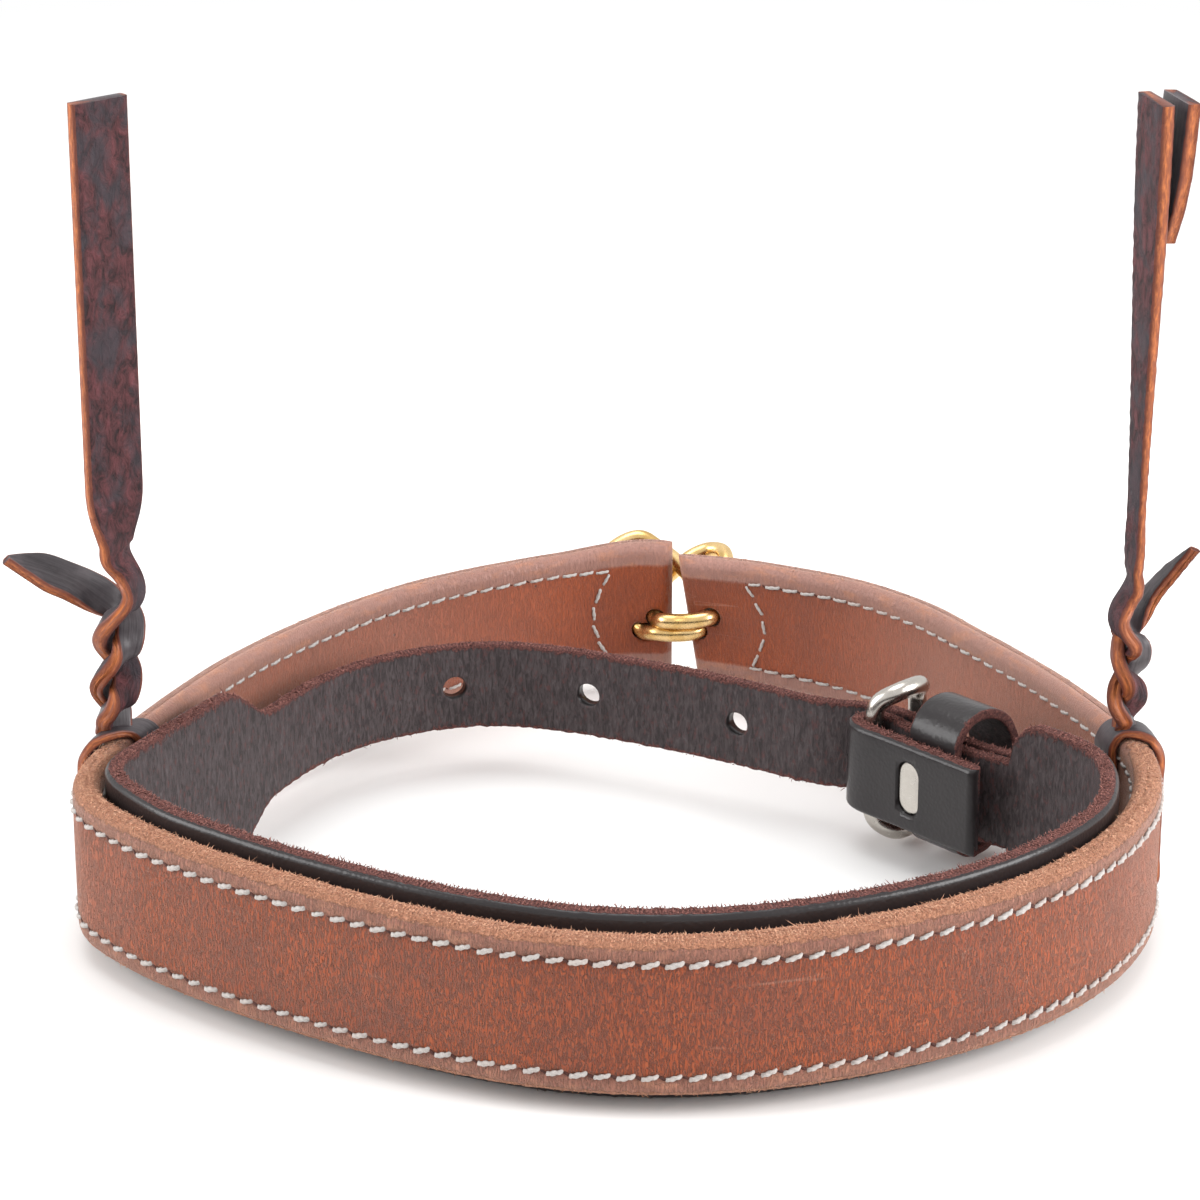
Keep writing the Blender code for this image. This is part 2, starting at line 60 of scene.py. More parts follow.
# Sizes of the solids, in millimetres
PLY = 2.55
GAP = 0.3
BOTH_PLIES = 2 * PLY + GAP
BAND_BOTTOM, BAND_TOP = 3.2, 32.2
BAND_END_BOTTOM, BAND_END_TOP = 4.7, 30.7
END_TAPER = 120.0
END_LEAN = 0.17
LINER_TOP = 34.5
LINER_THICK = 3.4
STRAP_LOW, STRAP_HIGH = 8.2, 25.9
STRAP_THICK = 3.0
STRAP_MIDDLE = (STRAP_LOW + STRAP_HIGH) / 2
HOLE_RADIUS = 2.4
BUCKLE_WIRE = 1.8
TONGUE_WIRE = 0.8
FOLD_ROOM = 0.5
STUD_WIDE, STUD_HIGH = 5.2, 10.3
KEEPER_WIDE, KEEPER_THICK = 12.0, 2.0
HANGER_WIDE, HANGER_THICK = 11.5, 2.4
TAIL_THICK = 2.2
PIVOT_HEIGHT = 37.0
SECOND_WIDE, SECOND_THICK = 11.5, 2.6
SECOND_FOOT = 127.0
CROWN_CUT = 153.0

# Sizes that the dressed pieces have of their own; a run is measured along the band
RING_WIRE = 1.66
RING_ROOM = 0.4
LOOP_THICK = 1.7
LOOP_WIDE = 8.4
LOOP_NARROWING = 1.4
STRAND_FOOT = 33.6
INTO_GAP = 0.12
FACE_EDGE = 1.3
END_ROW = 14.0
LEAN_RUN = 20.0

RING_LEFT = [
    (7.5, 18.6, 14.9), (10.0, 16.0, 14.6), (15.0, 14.6, 14.3), (19.8, 13.8, 14.6),
    (22.4, 15.2, 15.4), (23.0, 18.8, 16.4), (22.6, 23.2, 18.0), (20.3, 26.4, 21.0),
    (17.0, 28.2, 25.2), (13.6, 29.8, 29.3), (8.4, 31.2, 32.7), (3.2, 30.4, 30.6),
    (1.4, 27.8, 25.0), (3.4, 25.6, 20.0), (6.0, 22.4, 16.9),
]
RING_RIGHT = [
    (11.0, 18.9, 18.0), (12.1, 16.0, 17.9), (16.0, 14.6, 17.7), (20.5, 13.6, 17.9),
    (24.2, 14.4, 18.5), (26.0, 17.4, 19.3), (26.6, 21.6, 21.0), (26.3, 26.0, 24.6),
    (26.5, 29.0, 27.0), (25.8, 32.0, 28.2), (23.2, 34.2, 27.4), (20.0, 34.0, 25.6),
    (16.8, 32.4, 23.4), (13.6, 29.8, 21.4), (11.4, 26.6, 19.8), (10.8, 22.6, 18.6),
]
BAND_OUTER_PATH = [
    (15.4, 24.5), (8, 25.3), (-0.2, 24.6), (-10, 21.2), (-20.5, 15.6), (-41.7, 0.9),
    (-60.3, -19.9), (-73.9, -40.3), (-85.2, -63.8), (-92.6, -83), (-95.8, -98),
    (-94.2, -108), (-86, -119.8), (-71, -133.6), (-53, -146.4), (-32.5, -158.2),
    (-9.7, -167), (8, -169.5), (25.6, -168.1), (44, -162.8), (65, -152.6),
    (79.4, -141.8), (93.7, -123.6), (101.3, -104), (102.6, -92), (100.9, -78),
    (95.8, -63.3), (88.4, -46.5), (77.4, -26.4), (65.6, -7), (53.6, 5.2),
    (42, 12.4), (30, 18.6), (19.3, 21.9),
]
LINER_LEFT_END = [
    (-64.9, -51.6), (-68.4, -57.5), (-73.2, -65.8), (-78.6, -75), (-83.6, -84.5),
]
LINER_RIGHT_END = [(90.6, -88.6), (84.3, -81.6), (78.6, -76.4)]
BILLET_CENTRE_PATH = [
    (-63.2, -51), (-60, -44.6), (-54, -35), (-41, -23.6), (-28, -18.4), (-20, -17.6),
    (-12, -19), (-3, -22), (8, -27), (19.8, -33), (29, -38.4),
]
BILLET_HOLES = [(-29.6, -18.9), (-1.8, -22.5), (27.4, -37.5)]

# The buckle's own axes: AWAY runs along the chape from its fold, OUT from the tab to the band
FOLD = np.array((45.0, -57.0, 0.0))
AWAY = np.array((0.682, -0.731, 0.0))
OUT = np.array((0.731, 0.682, 0.0))
BAR_AWAY = BAR_OUT = 5.2
STUD_AWAY = 19.0
KEEPER_AWAY = 22.0
FAR_LEG = 17.6
TONGUE_HOLE = (BAR_AWAY + 3.4, 12.5)


def linear(code):
    """An sRGB hex value as the linear colour that Blender works in."""
    parts = [int(code[k : k + 2], 16) / 255 for k in (1, 3, 5)]
    return [p / 12.92 if p <= 0.04045 else ((p + 0.055) / 1.055) ** 2.4 for p in parts]


def colour(code, name, description):
    return bpy.props.FloatVectorProperty(
        name=name, description=description, default=linear(code), subtype="COLOR", size=3,
        min=0.0, max=1.0,
    )


def length(value, name, description):
    return bpy.props.FloatProperty(
        name=name, description=description, default=value * MM, unit="LENGTH", min=0.0,
        precision=5,
    )


class NosebandSizes(bpy.types.PropertyGroup):
    """Sizes of what the leather worker adds to the plain straps."""

    pitch: length(4.05, "Stitch pitch", "Distance from one stitch to the next")
    inset: length(4.0, "Stitch inset", "Distance of each row from the edge of the band")
    thread: length(0.46, "Thread radius", "Half the thickness of one laid stitch")
    rim: length(2.25, "Rim radius", "Rounding of the band's outer corners")
    groove: length(0.3, "Groove depth", "How deep the stitches draw the leather in")
    tan_fibre: length(0.5, "Tan fibre", "Mean length of the fibres on the band's cut edge")
    fuzz: length(0.42, "Lining fuzz", "Mean length of the fibres on the lining's edges")
    fibres: bpy.props.FloatProperty(
        name="Fibre density", description="Fibres on each millimetre of edge", default=22.0,
        min=0.0,
    )


class NosebandColours(bpy.types.PropertyGroup):
    """Main colour of each finish."""

    russet: colour("#9C481D", "Russet", "Face of the harness leather")
    # Painted shade in the crease valleys
    russet_crease_shade: colour("#562515", "Russet valleys", "Creases of the harness leather")
    burnished: colour("#9A6655", "Burnished", "Rolled edge above the stitching")
    raw: colour("#D39272", "Raw edge", "Open fibres of the cut edge")
    lining_grain: colour("#1E1A1B", "Lining grain", "Smooth outer side of the lining")
    lining_flesh: colour("#443A3B", "Lining flesh", "Rough inner side of the lining")
    lining_fuzz: colour("#8A554D", "Lining fuzz", "Fibres on the lining's edges")
    latigo_grain: colour("#4B4548", "Latigo grain", "Smooth side of the hangers")
    latigo_flesh: colour("#5A3033", "Latigo flesh", "Rough side of the hangers")
    latigo_edge: colour("#C4713D", "Latigo edge", "Cut edge of the hangers")
    brass: colour("#ECCB92", "Brass", "The two rings")
    nickel: colour("#C9C4BD", "Nickel", "Buckle and stud")
    thread: colour("#BBB7B3", "Thread", "Waxed stitching thread")


def sizes():
    return bpy.context.scene.noseband_sizes


def colours():
    return bpy.context.scene.noseband_colours


# Curves


def curve_at(points, closed=False, per=24):
    """Dense points of a smooth curve through these points."""
    pts = np.array(points, float)
    count = len(pts)
    if closed:
        pts = np.vstack([pts[-1], pts, pts[0], pts[1]])
        spans = count
    else:
        pts = np.vstack([2 * pts[0] - pts[1], pts, 2 * pts[-1] - pts[-2]])
        spans = count - 1
    t = (np.arange(per) / per)[:, None]
    out = []
    for i in range(spans):
        p0, p1, p2, p3 = pts[i : i + 4]
        k0, k1, k2 = (max(np.linalg.norm(b - a), 1e-6) for a, b in ((p0, p1), (p1, p2), (p2, p3)))
        m1 = ((p1 - p0) / k0 * k1 + (p2 - p1) / k1 * k0) / (k0 + k1) * k1
        m2 = ((p2 - p1) / k1 * k2 + (p3 - p2) / k2 * k1) / (k1 + k2) * k1
        out.append(
            (2 * t**3 - 3 * t**2 + 1) * p1
            + (t**3 - 2 * t**2 + t) * m1
            + (-2 * t**3 + 3 * t**2) * p2
            + (t**3 - t**2) * m2
        )
    if not closed:
        out.append(pts[-2][None])
    return np.vstack(out)


def run_of(path):
    """Distance along a curve at each of its points."""
    return np.r_[0, np.cumsum(np.linalg.norm(np.diff(path, axis=0), axis=1))]


def even(points, step, closed=False):
    """The same curve with points about one step apart."""
    pts = np.array(points, float)
    if closed:
        pts = np.vstack([pts, pts[:1]])
    run = run_of(pts)
    at = np.linspace(0, run[-1], max(2, int(round(run[-1] / step))) + 1)
    if closed:
        at = at[:-1]
    return np.stack([np.interp(at, run, pts[:, k]) for k in range(pts.shape[1])], axis=1)


def smoothed(path, times):
    """The curve with small kinks worn off; its ends stay."""
    path = path.copy()
    for _ in range(times):
        path[1:-1] = (path[:-2] + 2 * path[1:-1] + path[2:]) / 4
    return path


def tangents(path, closed=False):
    if closed:
        t = np.roll(path, -1, axis=0) - np.roll(path, 1, axis=0)
    else:
        t = np.gradient(path, axis=0)
    return t / np.linalg.norm(t, axis=1)[:, None]


def right_of(path):
    """Level unit vectors to the right-hand side of a curve, which is outwards on the band."""
    t = tangents(path)
    side = np.stack([t[:, 1], -t[:, 0]] + [0 * t[:, 0]] * (path.shape[1] - 2), axis=1)
    return side / np.linalg.norm(side, axis=1)[:, None]


def level(path):
    """A plan curve as points in space at height nought."""
    return np.c_[path, np.zeros(len(path))]


def ease(x, low, high):
    t = np.clip((x - low) / (high - low), 0, 1)
    return t * t * (3 - 2 * t)


def quarter_round(share):
    """Height of a quarter circle at this share of its width."""
    return np.sqrt(np.clip(1 - (1 - share) ** 2, 0, 1))


def buckle_point(away, out, z=0.0):
    return FOLD + AWAY * away + OUT * out + UP * z


def wavy(points, size, seed, waves=7):
    """Smooth unevenness between -1 and 1 at each point, with bumps about this size."""
    rng = np.random.default_rng(seed)
    way = rng.normal(size=(waves, 3))
    number = rng.uniform(0.6, 1.5, waves) * 2 * math.pi / size
    way *= (number / np.linalg.norm(way, axis=1))[:, None]
    return np.sin(points @ way.T + rng.uniform(0, 6.3, waves)).mean(axis=-1) * 1.6


# Meshes


def new_object(name, verts, faces, flat=None, marks=None, material=None, sharp=55.0):
    """A mesh in the row frame from points in plan millimetres.

    flat is the place of each face corner on the strap laid flat, in millimetres; marks are three
    numbers there that say which finish shows.
    """
    mesh = bpy.data.meshes.new(name)
    mesh.from_pydata(((np.asarray(verts) + SHIFT) * MM).tolist(), [], faces)
    if flat is not None:
        for title, values in (("flat", flat), ("marks", marks)):
            made = mesh.attributes.new(title, "FLOAT_VECTOR", "CORNER")
            made.data.foreach_set("vector", np.asarray(values, np.float32).ravel())
    mesh.update()
    mesh.shade_smooth()
    mesh.set_sharp_from_angle(angle=math.radians(sharp))
    obj = bpy.data.objects.new(name, mesh)
    bpy.context.scene.collection.objects.link(obj)
    if material is not None:
        mesh.materials.append(material)
    return obj


def sweep(name, centre, across, up, outline, marks, material, closed=False):
    """A strap or wire: outlines (across, up) carried along a curve, with its ends closed."""
    n = len(centre)
    outline = np.asarray(outline, float)
    outline = np.broadcast_to(outline, (n, outline.shape[-2], 2))
    m = outline.shape[1]
    marks = np.broadcast_to(np.asarray(marks, float), (n, m, 3))
    verts = (
        centre[:, None]
        + across[:, None] * outline[..., :1]
        + up[:, None] * outline[..., 1:]
    ).reshape(-1, 3)
    run = run_of(np.vstack([centre, centre[:1]]) if closed else centre)
    spans = n if closed else n - 1
    ring = np.repeat(np.arange(spans), m)
    col = np.tile(np.arange(m), spans)
    rings = np.stack([ring, ring, ring + 1, ring + 1], axis=1)
    cols = np.stack([col, (col + 1) % m, (col + 1) % m, col], axis=1)
    index = (rings % n) * m + cols
    a, b, c, d = (verts[index[:, k]] for k in range(4))
    volume = np.einsum("ij,ij->", a, np.cross(b, c)) + np.einsum("ij,ij->", a, np.cross(c, d))
    if volume < 0:
        rings, cols, index = rings[:, ::-1], cols[:, ::-1], index[:, ::-1]
    corner_ring, corner_col = [rings.ravel()], [cols.ravel()]
    faces = index.tolist()
    if not closed:
        for r, forwards in ((0, volume < 0), (n - 1, volume >= 0)):
            order = np.arange(m) if forwards else np.arange(m)[::-1]
            faces.append((r * m + order).tolist())
            corner_ring.append(np.full(m, r))
            corner_col.append(order)
    corner_ring = np.concatenate(corner_ring)
    corner_col = np.concatenate(corner_col)
    shape = outline[corner_ring % n, corner_col]
    flat = np.c_[run[corner_ring], shape]
    return new_object(
        name, verts, faces, flat, marks[corner_ring % n, corner_col], material
    )


def flat_places(run, outline):
    """Place of each point of a swept outline on the strap laid flat."""
    along = np.broadcast_to(run[:, None, None], outline.shape[:2] + (1,))
    return np.concatenate([along, outline], axis=2)


def round_outline(half_a, half_b, corner, steps=4, along_a=1, along_b=1):
    """Points round a rounded rectangle, with extra points along its sides."""
    out = []
    for sa, sb, start, sides in (
        (1, 1, 0, along_a), (-1, 1, 90, along_b), (-1, -1, 180, along_a), (1, -1, 270, along_b),
    ):
        for k in range(steps + 1):
            turn = math.radians(start + 90 * k / steps)
            out.append(
                (sa * (half_a - corner) + corner * math.cos(turn),
                 sb * (half_b - corner) + corner * math.sin(turn))
            )
        first = np.array(out[-1])
        last = first * (-1, 1) if start in (0, 180) else first * (1, -1)
        for k in range(1, sides):
            out.append(tuple(first + (last - first) * k / sides))
    return np.array(out)


def carve(obj, *cutters):
    """Cuts these closed shapes out of obj and removes them."""
    for cutter in cutters:
        step = obj.modifiers.new("cut", "BOOLEAN")
        step.operation = "DIFFERENCE"
        step.solver = "EXACT"
        step.object = cutter
    graph = bpy.context.evaluated_depsgraph_get()
    made = bpy.data.meshes.new_from_object(obj.evaluated_get(graph), depsgraph=graph)
    obj.modifiers.clear()
    plain = obj.data
    obj.data = made
    bpy.data.meshes.remove(plain)
    for cutter in cutters:
        bpy.data.objects.remove(cutter)


def square_to(way, t):
    """The part of a direction that is square to t, as a unit vector."""
    way = way - t * np.dot(way, t)
    return way / np.linalg.norm(way)


def tube(name, path, radius, material, sides=20, closed=True, hint=None):
    """A round wire along a curve; its section keeps to the hint, or is carried along the bends."""
    t = tangents(path, closed)
    side = np.zeros_like(path)
    last = np.cross(t[0], UP)
    for i in range(len(path)):
        last = side[i] = square_to(last if hint is None else hint, t[i])
    turn = np.linspace(0, 2 * math.pi, sides, endpoint=False)
    outline = np.stack([radius * np.cos(turn), radius * np.sin(turn)], axis=1)
    return sweep(name, path, side, np.cross(t, side), outline, (0, 0, 0), material, closed)


def block(centre, along, half_along, half_across, low, high):
    """An upright block that carve takes away."""
    a = along / np.linalg.norm(along)
    path = np.array([centre - a * half_along, centre + a * half_along])
    across = np.tile(np.cross(UP, a), (2, 1))
    outline = [
        (half_across, low), (half_across, high), (-half_across, high), (-half_across, low),
    ]
    return sweep("cutter", path, across, np.tile(UP, (2, 1)), outline, (0, 0, 0), None)


def punch(centre, axis, radius, reach):
    """A round cutter through a strap."""
    path = np.array([centre - axis * reach / 2, centre + axis * reach / 2])
    return tube("cutter", path, radius, None, sides=28, closed=False)


def finish(obj, body, slot, *nodes):
    """Puts a piece on its body and hides the solids it stands for; its slot is not used."""
    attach(obj, body)
    if nodes:
        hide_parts(*nodes)


# Materials


def plug(tree, node, sockets):
    """Sets or links sockets of a node by name or place; a hex value is a colour."""
    for name, value in sockets.items():
        socket = node.inputs[name]
        if isinstance(value, bpy.types.NodeSocket):
            tree.links.new(value, socket)
        elif socket.type == "RGBA":
            socket.default_value = (*(linear(value) if isinstance(value, str) else value[:3]), 1.0)
        else:
            socket.default_value = value


def add(tree, kind, sockets=None, **settings):
    """Adds one shader node with its settings and links; ramp is a list of (place, shade)."""
    made = tree.nodes.new("ShaderNode" + kind)
    for name, value in settings.items():
        if name == "ramp":
            points = made.color_ramp.elements
            while len(points) < len(value):
                points.new(0.5)
            for point, (at, shade) in zip(points, value):
                point.position = at
                point.color = (*shade, 1.0) if np.ndim(shade) else (shade, shade, shade, 1.0)
        else:
            setattr(made, name, value)
    plug(tree, made, sockets or {})
    return made


def new_material(name, rough, metal=0.0):
    made = bpy.data.materials.new(name)
    made.use_nodes = True
    tree = made.node_tree
    shader = tree.nodes["Principled BSDF"]
    plug(tree, shader, {"Roughness": rough, "Metallic": metal})
    return made, tree, shader


def places(tree, stretch=1.0):
    """Place on the strap laid flat, in millimetres, stretched for a pattern."""
    where = add(tree, "Attribute", attribute_name="flat").outputs["Vector"]
    stretch = stretch * np.ones(3)
    return add(tree, "VectorMath", {0: where, 1: stretch}, operation="MULTIPLY").outputs[0]


def hide_pattern(tree, stretch, detail=2.0, rough=0.5, bend=0.0):
    """Uneven growth of the hide on the strap laid flat, in waves to the millimetre."""
    sockets = {"Vector": places(tree, stretch), "Scale": 1.0, "Detail": detail}
    sockets.update({"Roughness": rough, "Distortion": bend})
    return add(tree, "TexNoise", sockets).outputs["Fac"]


def solid_pattern(tree, waves, detail=2.0, rough=0.5):
    """Unevenness of a piece that was never flat, in waves to the metre."""
    where = add(tree, "TexCoord").outputs["Object"]
    sockets = {"Vector": where, "Scale": waves, "Detail": detail, "Roughness": rough}
    return add(tree, "TexNoise", sockets).outputs["Fac"]


def apart(tree, value, middle=0.5):
    """How far a value is from its middle, which is least along winding lines."""
    for kind, other in (("SUBTRACT", middle), ("ABSOLUTE", 0.0)):
        value = add(tree, "Math", {0: value, 1: other}, operation=kind).outputs[0]
    return value


def marks_of(tree):
    """The three marks that say which finish shows."""
    marks = add(tree, "Attribute", attribute_name="marks").outputs["Vector"]
    return add(tree, "SeparateXYZ", {0: marks}).outputs


def ragged_mark(tree, mark, pattern, amount, low, high):
    """Where a mark shows, its border made ragged by a pattern of the hide."""
    value = pattern
    for kind, other in (("SUBTRACT", 0.5), ("MULTIPLY", amount), ("ADD", mark)):
        value = add(tree, "Math", {0: value, 1: other}, operation=kind).outputs[0]
    return add(tree, "ValToRGB", {0: value}, ramp=((low, 0.0), (high, 1.0))).outputs[0]


def coats(tree, base, *layers):
    """Lays colours over a base colour, one on another.

    Each is (colour, share), (colour, share, most of it that shows), or (colour, pattern, low,
    high, most), which shows where the pattern passes from low to high.
    """
    for shade, share, *span in layers:
        if len(span) == 1:
            share = add(tree, "Math", {0: share, 1: span[0]}, operation="MULTIPLY").outputs[0]
        elif span:
            stops = ((span[0], 0.0), (span[1], span[2]))
            share = add(tree, "ValToRGB", {0: share}, ramp=stops).outputs[0]
        base = add(tree, "Mix", {0: share, 6: base, 7: shade}, data_type="RGBA").outputs[2]
    return base


def bumps(tree, shader, *layers):
    """Chains bump nodes, each (height, depth in millimetres) or (height, depth, share of it)."""
    last = None
    for height, depth, *share in layers:
        if share:
            height = add(tree, "Math", {0: height, 1: share[0]}, operation="MULTIPLY").outputs[0]
        sockets = {"Height": height, "Distance": depth * MM, "Strength": 1.0}
        if last is not None:
            sockets["Normal"] = last
        last = add(tree, "Bump", sockets).outputs["Normal"]
    plug(tree, shader, {"Normal": last})


def harness_leather(name, creased):
    """Vegetable-tanned cowhide, oiled and glazed: creased across the band, burnished at its edges."""
    made, tree, shader = new_material(name, 0.5)
    c = colours()
    # Creases stand about 0.7 mm apart and run 3 to 5 mm up the face
    wave = hide_pattern(tree, (2.3, 0.8, 0.48), 4.0, 0.6, 0.6)
    crease = add(tree, "ValToRGB", {0: apart(tree, wave)}, ramp=((0.0, 1.0), (0.07, 0.0))).outputs[0]
    fine = hide_pattern(tree, (2.6, 2.0, 1.3), 4.0, 0.6)
    # Oil stains are 10 to 30 mm wide
    stain = hide_pattern(tree, 0.05, 3.0, 0.55)
    # Long hair-thin scratches follow the band
    line = hide_pattern(tree, (0.012, 0.3, 0.42), 1.0, 0.5, 0.3)
    stops = ((0.496, 0.0), (0.5, 1.0), (0.504, 0.0))
    scratch = add(tree, "ValToRGB", {0: line}, ramp=stops).outputs[0]
    stops = ((0.48, 0.0), (0.62, 0.22))
    broken = add(tree, "ValToRGB", {0: hide_pattern(tree, 0.07)}, ramp=stops).outputs[0]
    scratch = add(tree, "Math", {0: scratch, 1: broken}, operation="MULTIPLY").outputs[0]
    # Pits are 0.4 mm across and 8 mm apart
    pit = add(tree, "TexVoronoi", {"Vector": places(tree), "Scale": 0.12}).outputs["Distance"]
    pit = add(tree, "ValToRGB", {0: pit}, ramp=((0.02, 1.0), (0.04, 0.0))).outputs[0]
    # Painted sheen: the rim is painted paler towards the back of the band
    rim, raw, sunk = marks_of(tree)
    half = run_of(curve_at(BAND_OUTER_PATH))[-1] / 2
    away = apart(tree, add(tree, "SeparateXYZ", {0: places(tree)}).outputs[0], half)
    back = add(tree, "MapRange", {0: away, 1: 110.0, 2: 190.0, 4: 0.5}).outputs[0]
    rolled = coats(
        tree, "#7E5142",
        (c.burnished, hide_pattern(tree, (2.2, 1.0, 0.7), 4.0, 0.65), 0.32, 0.66, 1.0),
        # painted sheen on the back of the rim
        ("#A8837A", back),
        ("#B27A60", hide_pattern(tree, (0.16, 0.4, 0.4), 4.0, 0.65), 0.5, 0.66, 0.7),
    )
    # Fibre bundles of the cut edge are about 0.4 mm
    fibre = hide_pattern(tree, (2.0, 2.6, 2.6), 5.0, 0.75, 1.0)
    open_edge = coats(
        tree, "#96604A", (c.raw, fibre, 0.36, 0.54, 1.0), ("#EDBD9C", fibre, 0.56, 0.74, 0.9)
    )
    bare = ragged_mark(tree, raw, hide_pattern(tree, 0.8, 5.0, 0.7), 1.3, 0.42, 0.62)
    # Painted sheen: the inner side is painted a paler pink, but for its ends
    inner_sheen = add(tree, "MapRange", {0: away, 1: half - 70, 2: half - 20, 3: 0.5, 4: 0.06}).outputs[0]
    # The last coat is painted shade in the sewn groove
    body = coats(
        tree, "#87391A",
        (c.russet, fine, 0.3, 0.7, 1.0),
        # Painted highlight on the crease ridges, then painted shade in the crease valleys
        ("#B2663E", wave, 0.5, 0.8, 0.34 * creased),
        (c.russet_crease_shade, crease, 0.85 * creased),
        ("#6C382A", stain, 0.44, 0.7, 0.55),
        ("#C9A18E", scratch),
        ("#4A2A22", pit),
        # painted sheen on the inner side
        ("#AA8478", inner_sheen, 1 - creased),
        (rolled, ragged_mark(tree, rim, fine, 0.5, 0.3, 0.75)),
        (open_edge, bare),
        # painted shade in the sewn groove
        ("#5A2E21", sunk, 0.5 * creased),
    )
    rough = add(tree, "MapRange", {0: bare, 3: 0.44, 4: 0.92}).outputs[0]
    more = add(tree, "Math", {0: fine, 1: 0.12}, operation="MULTIPLY").outputs[0]
    rough = add(tree, "Math", {0: rough, 1: more}, operation="ADD").outputs[0]
    plug(tree, shader, {"Base Color": body, "Roughness": rough, "Specular IOR Level": 0.35})
    plug(tree, shader, {"Sheen Weight": 0.5, "Sheen Tint": "#FFDCC8", "Sheen Roughness": 0.4})
    bumps(
        tree, shader, (wave, 0.16 * creased), (crease, -0.16 * creased), (fine, 0.05),
        (scratch, -0.04), (pit, -0.12), (fibre, 0.7, bare),
    )
    return made


def lining_leather():
    """Black latigo lining: pebbled wax-dressed grain outside, crackled flesh inside, fuzzy edges."""
    made, tree, shader = new_material("lining_latigo_leather", 0.5)
    c = colours()
    edge, flesh, _ = marks_of(tree)
    # Grain pebbles are about 0.6 mm
    sockets = {"Vector": places(tree), "Scale": 1.5}
    pebble = add(tree, "TexVoronoi", sockets, feature="SMOOTH_F1").outputs["Distance"]
    grain = coats(tree, c.lining_grain, ("#292425", hide_pattern(tree, 0.15, 3.0, 0.6)))
    # Cracks of the flesh side run up the strap, 0.5 to 1 mm apart
    crack = hide_pattern(tree, (1.5, 1.0, 0.4), 6.0, 0.68, 0.8)
    speck = hide_pattern(tree, (1.1, 1.1, 0.55), 3.0, 0.7)
    inner = coats(
        tree, "#282021",
        (c.lining_flesh, crack, 0.4, 0.56, 1.0),
        ("#5C5456", crack, 0.56, 0.8, 1.0),
        ("#54302F", speck, 0.56, 0.68, 0.75),
    )
    fibre = hide_pattern(tree, 2.4, 4.0, 0.75, 0.8)
    fuzz = coats(tree, "#3B2627", (c.lining_fuzz, fibre, 0.38, 0.66, 1.0))
    ragged = ragged_mark(tree, edge, speck, 1.0, 0.4, 0.62)
    rough = add(tree, "MapRange", {0: flesh, 3: 0.3, 4: 0.6}).outputs[0]
    rough = add(tree, "Mix", {0: ragged, 2: rough, 3: 0.95}).outputs[0]
    body = coats(tree, grain, (inner, flesh), (fuzz, ragged))
    plug(tree, shader, {"Base Color": body, "Roughness": rough, "Specular IOR Level": 0.38})
    smooth = add(tree, "Math", {0: 1.0, 1: flesh}, operation="SUBTRACT").outputs[0]
    bumps(tree, shader, (pebble, -0.05, smooth), (crack, 0.18, flesh), (fibre, 0.5, ragged))
    return made


def hanger_latigo():
    """Oil-tanned latigo: grey smooth grain, burgundy rough flesh, orange cut edges."""
    made, tree, shader = new_material("hanger_latigo_leather", 0.5)
    c = colours()
    edge, flesh, _ = marks_of(tree)
    # Fine lines follow the strap, about 0.4 mm apart
    line = hide_pattern(tree, (0.12, 2.2, 2.2), 3.0, 0.6)
    grain = coats(
        tree, "#352F32",
        (c.latigo_grain, line, 0.35, 0.68, 1.0),
        ("#5D5457", hide_pattern(tree, 0.22, 3.0, 0.6), 0.45, 0.7, 0.5),
    )
    # Torn fibre bundles on the flesh side are 1 to 2 mm
    torn = hide_pattern(tree, (0.3, 0.5, 0.5), 6.0, 0.72, 0.7)
    rough_side = coats(
        tree, "#281619",
        (c.latigo_flesh, torn, 0.4, 0.58, 1.0),
        ("#744046", torn, 0.58, 0.78, 1.0),
        ("#39343A", hide_pattern(tree, (0.1, 0.17, 0.17), 4.0, 0.6, 0.5), 0.46, 0.62, 0.8),
    )
    # The corners of the cut edge are darker than its middle
    corner = add(tree, "ValToRGB", {0: edge}, ramp=((0.72, 0.85), (0.97, 0.0))).outputs[0]
    cut = coats(
        tree, "#8C4B2D",
        (c.latigo_edge, hide_pattern(tree, (0.5, 2.0, 2.0), 3.0, 0.6), 0.42, 0.7, 1.0),
        ("#5E2F27", corner),
    )
    shown = ragged_mark(tree, edge, torn, 0.3, 0.45, 0.6)
    body = coats(tree, grain, (rough_side, flesh), (cut, shown))
    rough = add(tree, "MapRange", {0: flesh, 3: 0.42, 4: 0.7}).outputs[0]
    plug(tree, shader, {"Base Color": body, "Roughness": rough, "Specular IOR Level": 0.35})
    bumps(tree, shader, (torn, 1.1, flesh), (line, 0.06))
    return made


def polished_brass():
    """Cast brass, tumbled and polished, with the soft waviness of a casting."""
    made, tree, shader = new_material("polished_cast_brass", 0.28, 1.0)
    # Casting waves are 3 to 4 mm, tumbling marks 0.3 mm
    wave = solid_pattern(tree, 280.0, 1.0)
    mark = solid_pattern(tree, 3200.0)
    body = coats(tree, "#D2AD6C", (colours().brass, wave, 0.35, 0.7, 1.0))
    rough = add(tree, "MapRange", {0: mark, 3: 0.22, 4: 0.34}).outputs[0]
    plug(tree, shader, {"Base Color": body, "Roughness": rough})
    bumps(tree, shader, (wave, 0.05), (mark, 0.004))
    return made


def nickel_plate():
    """Nickel plated on a cast buckle: bright, slightly rounded over, lightly rubbed."""
    made, tree, shader = new_material("nickel_plated_steel", 0.22, 1.0)
    # Rub marks are about 1 mm
    rub = solid_pattern(tree, 900.0, 3.0, 0.6)
    body = coats(tree, "#B4AEA6", (colours().nickel, rub))
    rough = add(tree, "MapRange", {0: rub, 3: 0.16, 4: 0.34}).outputs[0]
    plug(tree, shader, {"Base Color": body, "Roughness": rough})
    bumps(tree, shader, (rub, 0.01))
    return made


